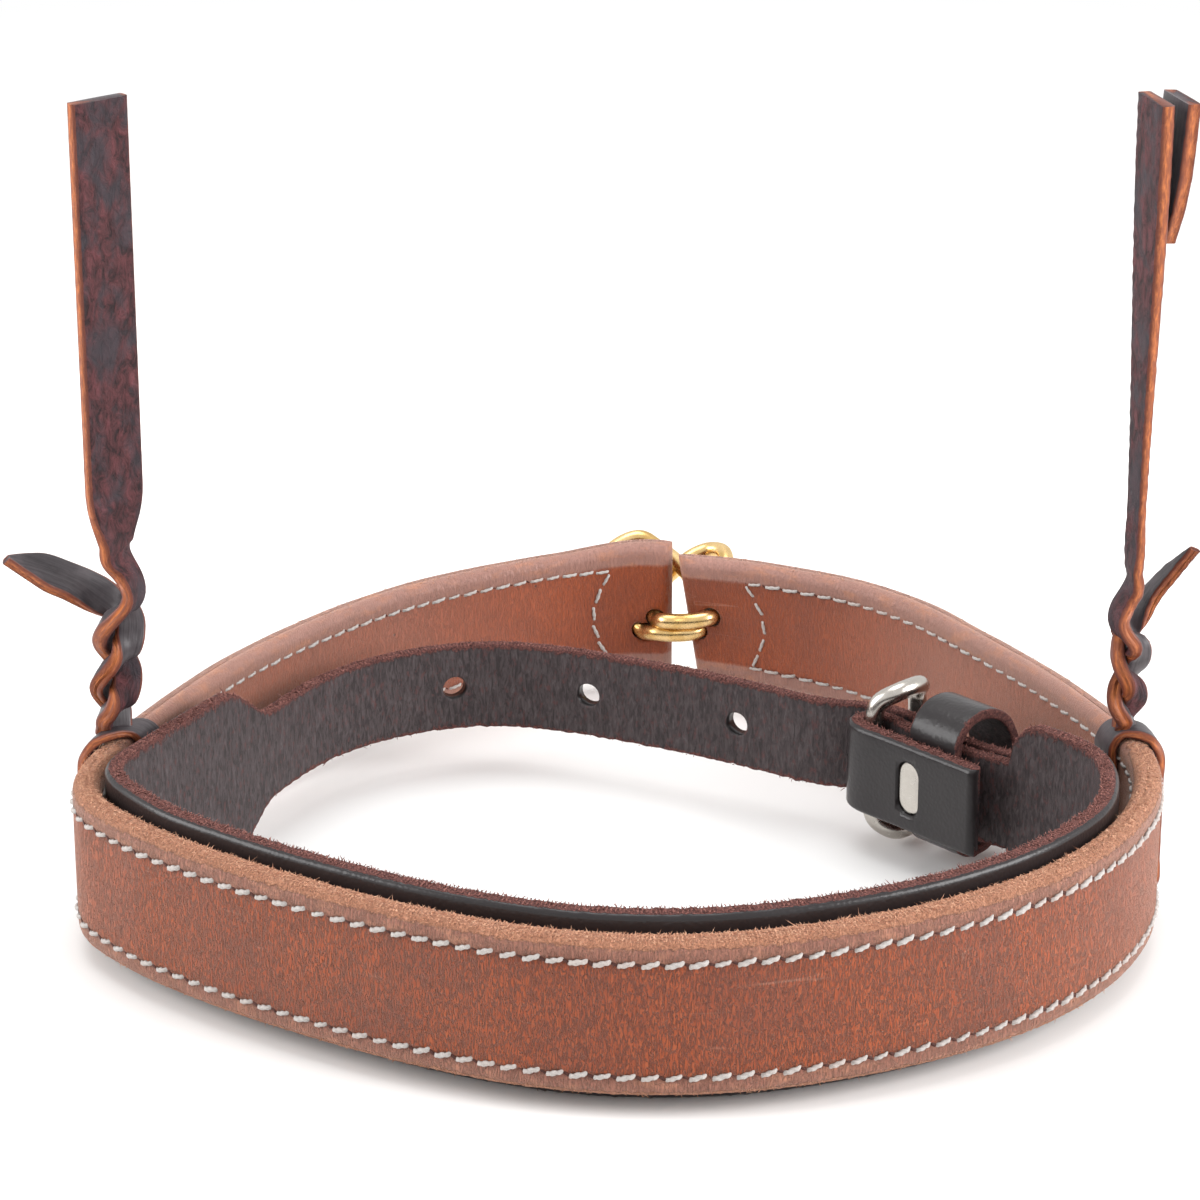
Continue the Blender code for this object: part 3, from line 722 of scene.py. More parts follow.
def waxed_thread():
    """Twisted waxed linen: matt, off-white, greyer between its strands."""
    made, tree, shader = new_material("waxed_linen_thread", 0.72)
    # Strand fibres are far finer than the picture shows, so this is drawn at 0.25 mm
    fibre = solid_pattern(tree, 4200.0, 3.0, 0.7)
    body = coats(
        tree, "#A39C98",
        (colours().thread, fibre, 0.35, 0.65, 1.0),
        ("#B59C90", solid_pattern(tree, 60.0), 0.45, 0.75, 0.35),
    )
    plug(tree, shader, {"Base Color": body})
    bumps(tree, shader, (fibre, 0.06))
    return made


def fibre_material(name, dark, light):
    """Loose collagen fibre torn open by the knife: matt, each one a little lighter or darker."""
    made, tree, shader = new_material(name, 0.9)
    stops = ((0.35, linear(dark)), (0.65, linear(light)))
    pattern = solid_pattern(tree, 1500.0, 2.0, 0.6)
    body = add(tree, "ValToRGB", {0: pattern}, ramp=stops).outputs[0]
    plug(tree, shader, {"Base Color": body})
    return made


def awl_hole():
    """Inside of an awl slit: painted shadow, near black."""
    made, tree, shader = new_material("awl_slit_shadow", 0.8)
    body = coats(tree, "#2C130D", ("#54291F", solid_pattern(tree, 1800.0)))
    plug(tree, shader, {"Base Color": body})
    return made


FINISHES = {
    "band_leather": lambda: harness_leather("harness_leather_creased", 1.0),
    "band_inner_leather": lambda: harness_leather("harness_leather_smooth", 0.35),
    "liner_leather": lining_leather,
    "latigo_leather": hanger_latigo,
    "brass": polished_brass,
    "nickel": nickel_plate,
    "thread": waxed_thread,
    "awl": awl_hole,
    "tan_fibre": lambda: fibre_material("harness_leather_fibre", "#B67C60", "#EBBB9B"),
    "burgundy_fibre": lambda: fibre_material("lining_latigo_fibre", "#5A3531", "#A06C62"),
}
MADE = {}


def finish_of(name):
    if name not in MADE:
        MADE[name] = FINISHES[name]()
    return MADE[name]


# Band and its sewing


def band_path():
    """Outer path of the band with its heights: six points to each stitch."""
    path = even(curve_at(BAND_OUTER_PATH), sizes().pitch / MM / 6)
    path = smoothed(path, 12)
    run = run_of(path)
    from_end = np.minimum(run, run[-1] - run)
    narrow = np.clip(1 - from_end / END_TAPER, 0, 1) ** 1.5
    low = BAND_BOTTOM + (BAND_END_BOTTOM - BAND_BOTTOM) * narrow
    high = BAND_TOP + (BAND_END_TOP - BAND_TOP) * narrow
    return level(path), run, low, high


def front_share(path):
    """1 at the front of the band, where its edges are open, and 0 from the sides back."""
    return ease(-path[:, 1], 70, 100)


def end_lean(left):
    """Slope of the right end, from the run left to it."""
    return END_LEAN * np.clip(1 - left / LEAN_RUN, 0, 1)


def ply_edge(rim, inset):
    """(distance from the edge, depth, groove share, rolled, raw, sunk) down one edge of a ply."""
    out = [
        (inset + FACE_EDGE, 0.0, 0.0, 0.0, 0.0, 0.0), (inset + 0.7, 0.0, 0.08, 0.1, 0.0, 0.1),
        (inset + 0.35, 0.0, 0.6, 0.3, 0.0, 0.75), (inset, 0.0, 1.0, 0.5, 0.0, 1.0),
        (inset - 0.35, 0.0, 0.6, 0.8, 0.0, 0.75), (inset - 0.75, 0.0, 0.05, 1.0, 0.0, 0.15),
    ]
    for k in range(9):
        turn = math.radians(90 * k / 8)
        d = rim * (1 - math.sin(turn))
        out.append((d, rim * (1 - math.cos(turn)), 0.0, 1.0, ease(k, -0.5, 5.0), 0.0))
    return np.array(out)


def make_ply(side, facing, material_slot):
    """One ply of the band: facing 1 is the outer ply, -1 the inner one."""
    path, run, low, high = band_path()
    s = sizes()
    across = right_of(path)
    total = run[-1]
    inset = s.inset / MM
    groove = s.groove / MM * (1.0 if facing > 0 else 0.35)
    edge = ply_edge(s.rim / MM, inset)
    face_count, inner_count = 15, 4
    flesh_depth = PLY + INTO_GAP
    from_face = 0.0 if facing > 0 else -BOTH_PLIES
    # The ends thin to a rounded nose
    nose = 2.7
    from_end = np.minimum(run, total - run)
    thin = quarter_round(np.clip(from_end / nose, 0.02, 1))
    front = front_share(path)
    pull = 0.55 + 0.45 * np.abs(np.cos(math.pi * run / (s.pitch / MM))) ** 3
    sewn = ease(from_end, END_ROW - 1.0, END_ROW + 0.5)
    rows, marks = [], []
    for i in range(len(path)):
        drawn = edge[:, 1] + edge[:, 2] * groove * pull[i] * sewn[i]
        bare = 0.12 + 0.88 * front[i]
        sunk = edge[:, 5] * sewn[i]
        upper = np.stack([high[i] - edge[:, 0], drawn], axis=1)
        lower = np.stack([low[i] + edge[:, 0], drawn], axis=1)[::-1]
        inner = np.linspace(high[i] - INTO_GAP, low[i] + INTO_GAP, inner_count + 1)
        inner = np.stack([inner, np.full(inner_count + 1, flesh_depth)], axis=1)
        start, end = low[i] + inset + FACE_EDGE, high[i] - inset - FACE_EDGE
        face = np.linspace(start, end, face_count + 1)[1:-1]
        face = np.stack([face, 0 * face], axis=1)
        rows.append(np.vstack([upper, inner, lower, face]))
        top = np.stack([edge[:, 3], edge[:, 4] * bare, sunk], axis=1)
        bottom = np.stack([edge[:, 3], edge[:, 4] * (0.3 + 0.55 * front[i]), sunk], axis=1)
        closed = np.tile((1.0, bare, 0.0), (inner_count + 1, 1))
        marks.append(np.vstack([top, closed, bottom[::-1], np.zeros((len(face), 3))]))
    rows = np.array(rows)
    marks = np.array(marks)
    depth = flesh_depth - (flesh_depth - rows[..., 1]) * thin[:, None]
    outline = np.stack([from_face - facing * depth, rows[..., 0]], axis=2)
    # Light unevenness of hide and rim
    place = flat_places(run, outline)
    swell = wavy(place, 26.0, 3 if facing > 0 else 4)
    ragged = wavy(place, 2.1, 5) * 0.5 + wavy(place, 1.1, 6) * 0.5
    outline[..., 0] += 0.1 * swell * (thin[:, None] > 0.99) * (marks[..., 1] < 0.5)
    torn = marks[..., 1] * (depth < PLY)
    outline[..., 0] += 0.16 * facing * wavy(place, 1.3, 7) * torn
    lift = np.where(outline[..., 1] > STRAP_MIDDLE, 1.0, -1.0)
    outline[..., 1] += 0.14 * ragged * marks[..., 1] * lift
    # The ring draws the left end up
    lifted, lift_run = 2.1, 27.0
    near = ease(lift_run - run, 0, 24)[:, None]
    outline[..., 1] += lifted * near * ease(outline[..., 1], 18, 31)
    up = np.tile(UP, (len(path), 1))
    middle = (low + high) / 2
    tipped = tangents(path) * end_lean(total - run)[:, None]
    centre = path - tipped * middle[:, None]
    obj = sweep(
        f"band_{side}_leather", centre, across, up + tipped, outline, marks,
        finish_of(material_slot),
    )
    holes = (
        tube("cutter", ring_path(ring, 0.8), RING_WIRE + RING_ROOM, None)
        for ring in (RING_LEFT, RING_RIGHT)
    )
    carve(obj, *holes)
    finish(obj, NOSEBAND, material_slot, f"band_{side}_ply")


def end_line(total, at_left, low, high):
    """The curved cross row that closes an end: (run, height) from the top row to the bottom one."""
    z = np.linspace(high, low, 30)
    share = (high - z) / (high - low)
    back = END_ROW + 3.8 * np.sin(math.pi * share) + 1.2 * share
    return np.c_[back if at_left else total - back, z]


def seam_lines():
    """Rows of stitching as (run, height) lines on the band laid flat."""
    path, run, low, high = band_path()
    inset = sizes().inset / MM
    total = run[-1]
    top, bottom = high - inset, low + inset
    keep = (run > END_ROW) & (run < total - END_ROW)
    rows = [np.c_[run[keep], top[keep]], np.c_[run[keep], bottom[keep]]]
    ends = [
        end_line(total, at == END_ROW, np.interp(at, run, bottom), np.interp(at, run, top))
        for at in (END_ROW, total - END_ROW)
    ]
    return path, run, rows, ends


def read_at(at, run, rows):
    """Rows of numbers that stand at each run, read at other places between."""
    return np.stack([np.interp(at, run, rows[:, k]) for k in range(rows.shape[1])], axis=1)


def stitch_places(line, pitch, path, run, facing):
    """Middle, direction and outward normal of each stitch of one row, on one face of the band."""
    steps = run_of(line)
    count = int(round(steps[-1] / pitch))
    at = (np.arange(count) + 0.5) * steps[-1] / count
    s, z = read_at(at, steps, line).T
    ds, dz = (read_at(at + 0.1, steps, line) - read_at(at - 0.1, steps, line)).T
    point, out, way = (read_at(s, run, rows) for rows in (path, right_of(path), tangents(path)))
    out /= np.linalg.norm(out, axis=1)[:, None]
    lean = end_lean(run[-1] - s) * (z - STRAP_MIDDLE)
    point = point + way * lean[:, None]
    depth = 0.0 if facing > 0 else -BOTH_PLIES
    point = point + out * depth + UP * z[:, None]
    way = way * ds[:, None] + UP * dz[:, None]
    way /= np.linalg.norm(way, axis=1)[:, None]
    return point, way, out * facing, s


def copies(name, verts, faces, point, way, out, material, spread=0.0, seed=1):
    """One mesh of many copies of a small shape given along, beside and out of a row."""
    side = np.cross(out, way)
    rng = np.random.default_rng(seed)
    n = len(point)
    size = 1 + spread * rng.normal(size=(n, 1, 1))
    turn = 0.6 * spread * rng.normal(size=(n, 1))
    u = verts[None, :, 0] * np.cos(turn) - verts[None, :, 1] * np.sin(turn)
    v = verts[None, :, 0] * np.sin(turn) + verts[None, :, 1] * np.cos(turn)
    w = np.broadcast_to(verts[None, :, 2], u.shape)
    local = np.stack([u, v, w], axis=2) * size
    made = (
        point[:, None]
        + way[:, None] * local[..., :1]
        + side[:, None] * local[..., 1:2]
        + out[:, None] * local[..., 2:]
    )
    m = len(verts)
    all_faces = [[k * m + i for i in face] for k in range(n) for face in faces]
    return new_object(name, made.reshape(-1, 3), all_faces, material=material, sharp=180.0)


def stitch_shape(thread, groove, slant, half):
    """A laid stitch of two-strand cord, diving into its holes at both ends."""
    rings, sides = 15, 12
    verts, faces = [], []
    for i in range(rings):
        u = -half + 2 * half * i / (rings - 1)
        share = abs(u) / half
        thick = thread * math.sqrt(max(1 - (share * 0.97) ** 3.4, 0.03))
        lift = 0.66 * thread - groove * 0.7 - 0.95 * share**4
        for k in range(sides):
            turn = 2 * math.pi * k / sides
            strand = 1 + 0.2 * math.cos(2 * (turn - 2.4 * u))
            verts.append(
                (u, slant * u + thick * strand * math.cos(turn),
                 lift + 0.9 * thick * strand * math.sin(turn))
            )
    for i in range(rings - 1):
        for k in range(sides):
            j = (k + 1) % sides
            faces.append((i * sides + k, (i + 1) * sides + k, (i + 1) * sides + j, i * sides + j))
    faces.append(tuple(range(sides)))
    faces.append(tuple((rings - 1) * sides + k for k in range(sides - 1, -1, -1)))
    return np.array(verts), faces


def slit_shape(groove):
    """The open end of an awl slit, slanting across the row."""
    rim = [(-0.8, 0.6), (-0.15, 0.5), (0.55, 0.0), (0.85, -0.62), (0.2, -0.5), (-0.5, 0.02)]
    verts = [(u, v, -groove * 0.45) for u, v in rim]
    verts += [(0.0, 0.0, -groove * 0.25), (0.0, 0.0, -groove - 0.6)]
    faces = []
    for k in range(6):
        j = (k + 1) % 6
        faces += [(k, 6, j), (k, j, 7)]
    return np.array(verts), faces


class NOSEBAND_OT_band(bpy.types.Operator):
    """Builds the two plies of harness leather, cut for the rings."""

    bl_idname = "noseband.band"
    bl_label = "Band plies"

    def execute(self, context):
        make_ply("outer", 1, "band_leather")
        make_ply("inner", -1, "band_inner_leather")
        return {"FINISHED"}


class NOSEBAND_OT_sewing(bpy.types.Operator):
    """Lays the thread and the awl slits of all rows, on both faces."""

    bl_idname = "noseband.sewing"
    bl_label = "Sewing"

    def execute(self, context):
        s = sizes()
        pitch, groove = s.pitch / MM, s.groove / MM
        path, run, rows, ends = seam_lines()
        slit, slit_faces = slit_shape(groove)
        # The inner side shows the finer, flatter back of each stitch
        for side, facing, share, slant, half in (
            ("outer", 1, 1.0, 0.27, 1.86), ("inner", -1, 0.66, 0.1, 1.92),
        ):
            deep = groove * share**3
            stitch = stitch_shape(share * s.thread / MM, deep, slant, half)
            found = [stitch_places(line, pitch, path, run, facing) for line in rows + ends]
            point, way, out, at = (np.concatenate([f[k] for f in found]) for k in range(4))
            if facing < 0:
                # The lining hides the rows further to the front
                shown = np.interp(at, run, path[:, 1]) > -101
                point, way, out = point[shown], way[shown], out[shown]
            sewn = copies(
                f"sewing_{side}", *stitch, point, way, out, finish_of("thread"), 0.07, 11
            )
            finish(sewn, NOSEBAND, None)
            holes = copies(
                f"awl_slits_{side}", share**2 * slit, slit_faces, point + way * pitch / 2, way,
                out, finish_of("awl"), 0.12, 12,
            )
            finish(holes, NOSEBAND, "band_leather")
        return {"FINISHED"}


# Lining strap


def lining_path():
    """Centre line of the whole lining strap with its heights and thickness at each point."""
    band = even(curve_at(BAND_OUTER_PATH), 6.0)
    touching = band - right_of(band) * (2 * PLY + 2.6 * GAP)
    front = [tuple(p) for p in touching[touching[:, 1] < -97][::4]]
    outer = even(curve_at(LINER_LEFT_END + front + LINER_RIGHT_END), 1.0)
    wide = outer - right_of(outer) * LINER_THICK / 2
    beyond = [
        (-6, 6.6), (-0.6, 10.4), (5, 12.6), (12, 12.2), (20, 11.0), (30, 11.6), (38, 13.4),
        (47, 16.0),
    ]
    points = BILLET_CENTRE_PATH + [tuple(buckle_point(a, o)[:2]) for a, o in beyond]
    billet = even(curve_at(points), 1.0)[::-1]
    radius = BUCKLE_WIRE + FOLD_ROOM + STRAP_THICK / 2
    turn = [(33.5, 8.8), (28, 7.7), (20, 7.2), (13, 7.9)]
    for deg in range(90, -91, -20):
        turn.append(
            (BAR_AWAY - radius * math.cos(math.radians(deg)),
             BAR_OUT + radius * math.sin(math.radians(deg)))
        )
    turn += [(12, 1.5), (20, 1.5), (28, 1.5), (35.4, 1.5)]
    chape = even(curve_at([tuple(buckle_point(a, o)[:2]) for a, o in turn], per=12), 1.0)
    whole = curve_at(np.vstack([billet[:-1:4], wide[4:-5:4], chape[::3], chape[-1:]]), per=6)
    whole = smoothed(even(whole, 0.75), 10)
    run = run_of(whole)
    left = run[np.argmin(np.hypot(*(whole - wide[0]).T))]
    right = run[np.argmin(np.hypot(*(whole - wide[-1]).T))]
    grow = ease(run, left, left + 16.0)
    corner = np.clip((right - run) / 7.0, 0, 1)
    grow = np.minimum(grow, quarter_round(corner))
    low = STRAP_LOW * (1 - grow)
    high = STRAP_HIGH + (LINER_TOP - STRAP_HIGH) * grow
    point = np.clip(run / 12.0, 0, 1)
    half = (STRAP_HIGH - STRAP_LOW) / 2
    taper = half * (0.35 + 0.65 * quarter_round(point))
    low = np.where(run < 12, STRAP_MIDDLE - taper, low)
    high = np.where(run < 12, STRAP_MIDDLE + taper, high)
    thick = STRAP_THICK + (LINER_THICK - STRAP_THICK) * grow
    return level(whole), run, low, high, thick


def strap_edges(thick, low, high, side_points=12):
    """Upright strap section: a bevel on the grain side, a soft corner on the flesh side."""
    half = thick / 2
    big, small = min(1.15, half), 0.45
    out, marks = [], []

    def corner(x, z, radius, start, steps, mark):
        for k in range(steps + 1):
            turn = math.radians(start + 90 * k / steps)
            out.append((x + radius * math.cos(turn), z + radius * math.sin(turn)))
            marks.append(mark(k))

    corner(half - big, high - big, big, 0, 6, lambda k: (ease(k, 3, 6), 0.0, 0.0))
    for k in range(1, 3):
        out.append((half - big - (2 * half - big - small) * k / 3, high))
        marks.append((1.0, 0.3 * k, 0.0))
    corner(-half + small, high - small, small, 90, 4, lambda k: (1.0 - 0.4 * k / 4, 1.0, 0.0))
    for k in range(1, side_points):
        share = k / side_points
        out.append((-half, (high - small) * (1 - share) + (low + small) * share))
        near = min(share, 1 - share) * (high - low)
        marks.append((0.45 * max(0.0, 1 - near / 1.6), 1.0, 0.0))
    corner(-half + small, low + small, small, 180, 4, lambda k: (0.6 + 0.4 * k / 4, 1.0, 0.0))
    for k in range(1, 3):
        out.append((-half + small + (2 * half - big - small) * k / 3, low))
        marks.append((1.0, 0.6, 0.0))
    corner(half - big, low + big, big, 270, 6, lambda k: (1 - ease(k, 0, 3), 0.0, 0.0))
    for k in range(1, side_points):
        share = k / side_points
        out.append((half, (low + big) * (1 - share) + (high - big) * share))
        marks.append((0.0, 0.0, 0.0))
    return out, marks


def tongue_slot():
    """Cutter of the slot in the fold that the tongue turns in."""
    return block(buckle_point(7.7, 7.4), AWAY, 6.5, 6.2, STRAP_MIDDLE - 1.6, STRAP_MIDDLE + 1.6)


def stud_hole():
    """Cutter of the stud's oblong hole through tab, keeper and chape."""
    outline = round_outline(STUD_WIDE / 2 + GAP, STUD_HIGH / 2 + GAP, STUD_WIDE / 2 + 0.1, 6)
    path = np.array([buckle_point(STUD_AWAY, out, STRAP_MIDDLE) for out in (-2.0, 8.9)])
    across, up = np.tile(AWAY, (2, 1)), np.tile(UP, (2, 1))
    return sweep("cutter", path, across, up, outline, (0, 0, 0), None)


class NOSEBAND_OT_lining(bpy.types.Operator):
    """Builds the lining strap in one length: billet, wide nose part, chape and tab."""

    bl_idname = "noseband.lining"
    bl_label = "Lining strap"

    def execute(self, context):
        path, run, low, high, thick = lining_path()
        across = right_of(path)
        outline, marks = zip(*(strap_edges(t, a, b) for t, a, b in zip(thick, low, high)))
        outline, marks = np.array(outline), np.array(marks)
        place = flat_places(run, outline)
        rough = wavy(place, 2.0, 21) * 0.5 + wavy(place, 1.5, 22) * 0.5
        outline[..., 1] += 0.28 * rough * (marks[..., 0] > 0.55)
        ends = np.minimum(run, run[-1] - run)
        thin = quarter_round(np.clip(ends / 0.8, 0.1, 1))
        outline[..., 0] *= thin[:, None]
        up = np.tile(UP, (len(path), 1))
        obj = sweep("lining_strap", path, across, up, outline, marks, finish_of("liner_leather"))
        holes = []
        # The billet lies in the first 195 mm of the path
        for x, y in BILLET_HOLES:
            i = int(np.argmin(np.hypot(path[:260, 0] - x, path[:260, 1] - y)))
            holes.append(punch(path[i] + UP * STRAP_MIDDLE, across[i], HOLE_RADIUS, 8))
        holes.append(punch(buckle_point(*TONGUE_HOLE, STRAP_MIDDLE), OUT, HOLE_RADIUS, 6))
        carve(obj, *holes, tongue_slot(), stud_hole())
        finish(obj, NOSEBAND, "liner_leather", "liner_wide", "billet_strap", "chape_strap")
        return {"FINISHED"}


def flat_strap(
    name, path, wide, widths, thick, flesh_side, material, closed=False, corner=0.55, slant=False
):
    """A strap in space; wide points across it, flesh_side is 1 or -1 along its thickness.

    A slanting strap keeps its width in the direction of wide where it runs off at an angle.
    """
    t = tangents(path, closed)
    wide = np.asarray(wide, float)
    if not slant:
        wide = wide - t * np.einsum("ij,ij->i", wide, t)[:, None]
    wide /= np.linalg.norm(wide, axis=1)[:, None]
    normal = np.cross(t, wide)
    normal /= np.linalg.norm(normal, axis=1)[:, None]
    rows, marks = [], []
    thick = np.broadcast_to(thick, len(path))
    for i, width in enumerate(widths):
        part = round_outline(width / 2, thick[i] / 2, corner, 4, 8, 3)
        part[:, 1] *= 1 + 0.05 * np.cos(part[:, 0] / (width / 2) * math.pi / 2)
        inward = (width / 2 - np.abs(part[:, 0])) / corner
        edge = np.clip(1.25 - inward * 0.75, 0, 1)
        edge = edge * (1 - 0.3 * ease(np.abs(part[:, 1]) * 2 / thick[i], 0.15, 0.95))
        flesh = ease(part[:, 1] * flesh_side, -0.3, 0.3)
        rows.append(part)
        marks.append(np.stack([edge, flesh, 0 * edge], axis=1))
    rows = np.array(rows)
    marks = np.array(marks)
    rows = rows + 0.05 * wavy(flat_places(run_of(path), rows), 2.4, 31)[..., None]
    return sweep(name, path, wide, normal, rows, marks, material, closed)


class NOSEBAND_OT_keeper(bpy.types.Operator):
    """Builds the keeper loop that holds the billet down, and the stud through it."""

    bl_idname = "noseband.keeper"
    bl_label = "Keeper and stud"

    def execute(self, context):
        loop = [
            (4.3, 18), (4.3, 12), (4.8, 7.4), (7.6, 4.7), (12.5, 4.2), (17.5, 6.8), (20.6, 12),
            (21.4, 18), (20.6, 24), (17.5, 29.2), (12.5, 31.6), (7.6, 31.0), (4.8, 28.2),
            (4.3, 24),
        ]
        loop = [buckle_point(KEEPER_AWAY, o, z) for o, z in loop]
        path = even(curve_at(loop, closed=True), 0.6, True)
        wide = np.tile(AWAY, (len(path), 1))
        keeper = flat_strap(
            "keeper_leather", path, wide, [KEEPER_WIDE] * len(path), KEEPER_THICK,
            self.flesh_side(path), finish_of("liner_leather"), closed=True, corner=0.5,
        )
        carve(keeper, stud_hole())
        finish(keeper, NOSEBAND, "liner_leather", "keeper_loop")
        # The head is dished, with a rounded rim
        steps = ((0.9, 0.7), (0.65, 0.9), (0.75, 1.0), (8.4, 1.0))
        head = round_outline(STUD_WIDE / 2, STUD_HIGH / 2, STUD_WIDE / 2 - 0.1, 8)
        points = np.array([buckle_point(STUD_AWAY, out, STRAP_MIDDLE) for out, _ in steps])
        outline = np.array([head * share for _, share in steps])
        wide, up = np.tile(AWAY, (len(steps), 1)), np.tile(UP, (len(steps), 1))
        stud = sweep("stud_plated", points, wide, up, outline, (0, 0, 0), finish_of("nickel"))
        finish(stud, NOSEBAND, "nickel", "chape_stud")
        return {"FINISHED"}

    def flesh_side(self, path):
        """Which way along its thickness the inside of the loop lies."""
        t = tangents(path, True)
        normal = np.cross(t[0], AWAY)
        inside = path.mean(axis=0) - path[0]
        return 1 if np.dot(normal, inside) > 0 else -1


class NOSEBAND_OT_buckle(bpy.types.Operator):
    """Builds the buckle's frame and its tongue."""

    bl_idname = "noseband.buckle"
    bl_label = "Buckle"

    def execute(self, context):
        far = FAR_LEG
        loop = []
        for o, z in (
            (BAR_OUT, 17), (BAR_OUT, 25), (BAR_OUT + 0.5, 29), (BAR_OUT + 3.2, 31.4),
            ((BAR_OUT + far) / 2, 31.7), (far - 2.6, 31), (far - 0.2, 27.8), (far, 23),
            (far, 17), (far, 11), (far - 0.2, 6.4), (far - 2.6, 3.2),
            ((BAR_OUT + far) / 2, 2.4), (BAR_OUT + 3.2, 2.7), (BAR_OUT + 0.5, 5.2), (BAR_OUT, 9),
        ):
            # The frame's corners lean away from the fold
            lean = 3.6 * max(0.0, (abs(z - 17) - 11.0) / 3.7) ** 1.3
            loop.append(buckle_point(BAR_AWAY + lean, o, z))
        path = even(curve_at(loop, closed=True), 0.6, True)
        frame_piece = tube(
            "buckle_frame_plated", path, BUCKLE_WIRE, finish_of("nickel"), sides=28, hint=AWAY
        )
        finish(frame_piece, "frame_body", "nickel", "buckle_frame")
        points = []
        r = BUCKLE_WIRE + 0.25 + TONGUE_WIRE
        for deg in range(110, 351, 20):
            turn = math.radians(deg)
            points.append((BAR_AWAY + r * math.cos(turn), BAR_OUT + r * math.sin(turn)))
        points += [
            (BAR_AWAY + 3.1, BAR_OUT + 2.2), TONGUE_HOLE, (BAR_AWAY + 3.3, far + 1.6),
        ]
        points = [buckle_point(a, o, STRAP_MIDDLE) for a, o in points]
        path = even(curve_at(points, per=12), 0.4)
        tongue = tube(
            "buckle_tongue_plated", path, TONGUE_WIRE, finish_of("nickel"), sides=16, closed=False,
            hint=UP,
        )
        finish(tongue, "tongue_body", "nickel", "buckle_tongue")
        return {"FINISHED"}


def ring_path(place, step):
    """A ring's curve: drawn together where it passes the leather, low over the left hump."""
    path = even(curve_at(place, closed=True), step, True)
    slot_x = 16.2
    near = 1 - ease(path[:, 1], 17.0, 25.0)
    path[:, 0] += (slot_x - path[:, 0]) * 0.2 * near
    path[:, 2] -= 0.4 * near * (path[:, 1] - 14.5) + 2.4 * ease(path[:, 2], 24.0, 32.0)
    path[:, 1] += near * (1.9 if place is RING_LEFT else 0.3)
    return path


def turning_tube(name, path, radius, material, sides):
    """A closed round wire whose section is carried along the bends and meets itself again."""
    t = tangents(path, True)
    n = len(path)
    side = np.zeros_like(path)
    last = np.cross(t[0], UP)
    for i in range(n):
        last = side[i] = square_to(last, t[i])
    end = square_to(last, t[0])
    off = math.atan2(np.dot(np.cross(side[0], end), t[0]), np.dot(side[0], end))
    other = np.cross(t, side)
    turn = (-off * np.arange(n) / n)[:, None]
    side, other = (
        side * np.cos(turn) + other * np.sin(turn),
        other * np.cos(turn) - side * np.sin(turn),
    )
    angles = np.linspace(0, 2 * math.pi, sides, endpoint=False)
    outline = radius * np.stack([np.cos(angles), np.sin(angles)], axis=1)
    return sweep(name, path, side, other, outline, (0, 0, 0), material, True)


class NOSEBAND_OT_rings(bpy.types.Operator):
    """Builds the two bent brass rings that join the ends of the band."""

    bl_idname = "noseband.rings"
    bl_label = "Brass rings"

    def execute(self, context):
        for name, place in (("ring_left", RING_LEFT), ("ring_right", RING_RIGHT)):
            path = ring_path(place, 0.5)
            ring = turning_tube(name + "_brass", path, RING_WIRE, finish_of("brass"), 28)
            finish(ring, name + "_body", "brass", name)
        return {"FINISHED"}


# Hangers

# Each hanger: sign of its twist, foot and top of its middle line, the way its flat side faces,
# how much it slims below the crown, reach and width of a strand, height of the upper crossing,
# degrees of twist to the millimetre, widths along the tail and its tip, and where its loop is
# tied, with the shifts of its outer and inner leg along the band
HANGERS = {
    "left": {
        "sign": 1, "foot": (-90.4, -80.0), "top": (-88.2, -80.0), "face": -50, "slimmed": 0.0,
        "strand": (3.25, 5.4), "crossing": 57.0, "rate": 18.95,
        "tail_wide": ((0.0, 0.5, 0.72, 1.0), (5.4, 8.6, 8.2, 1.3)), "tip": (-108.5, -80.0, 66.8),
        "at": (-91.5, -80.0), "shifts": (5.0, -5.0),
    },
    "right": {
        "sign": -1, "foot": (97.0, -80.0), "top": (97.6, -80.0), "face": -164, "slimmed": 0.48,
        "strand": (2.5, 4.8), "crossing": 52.0, "rate": 22.0,
        "tail_wide": ((0.0, 0.3, 0.7, 1.0), (4.8, 5.4, 3.8, 0.9)), "tip": (108.6, -80.0, 68.8),
        "at": (101.5, -81.0), "shifts": (-1.2, 4.0),
    },
}

# How far a strand has swung its edge away from the front, in half turns, over one turn of the
# twist: front, left, back, right and front again
TWIST = np.array(
    [(0.0, 0.0), (0.12, 0.02), (0.25, 0.06), (0.5, 0.2), (0.64, 0.36), (0.75, 0.42),
     (0.84, 0.34), (0.92, 0.15), (1.0, 0.0)]
)


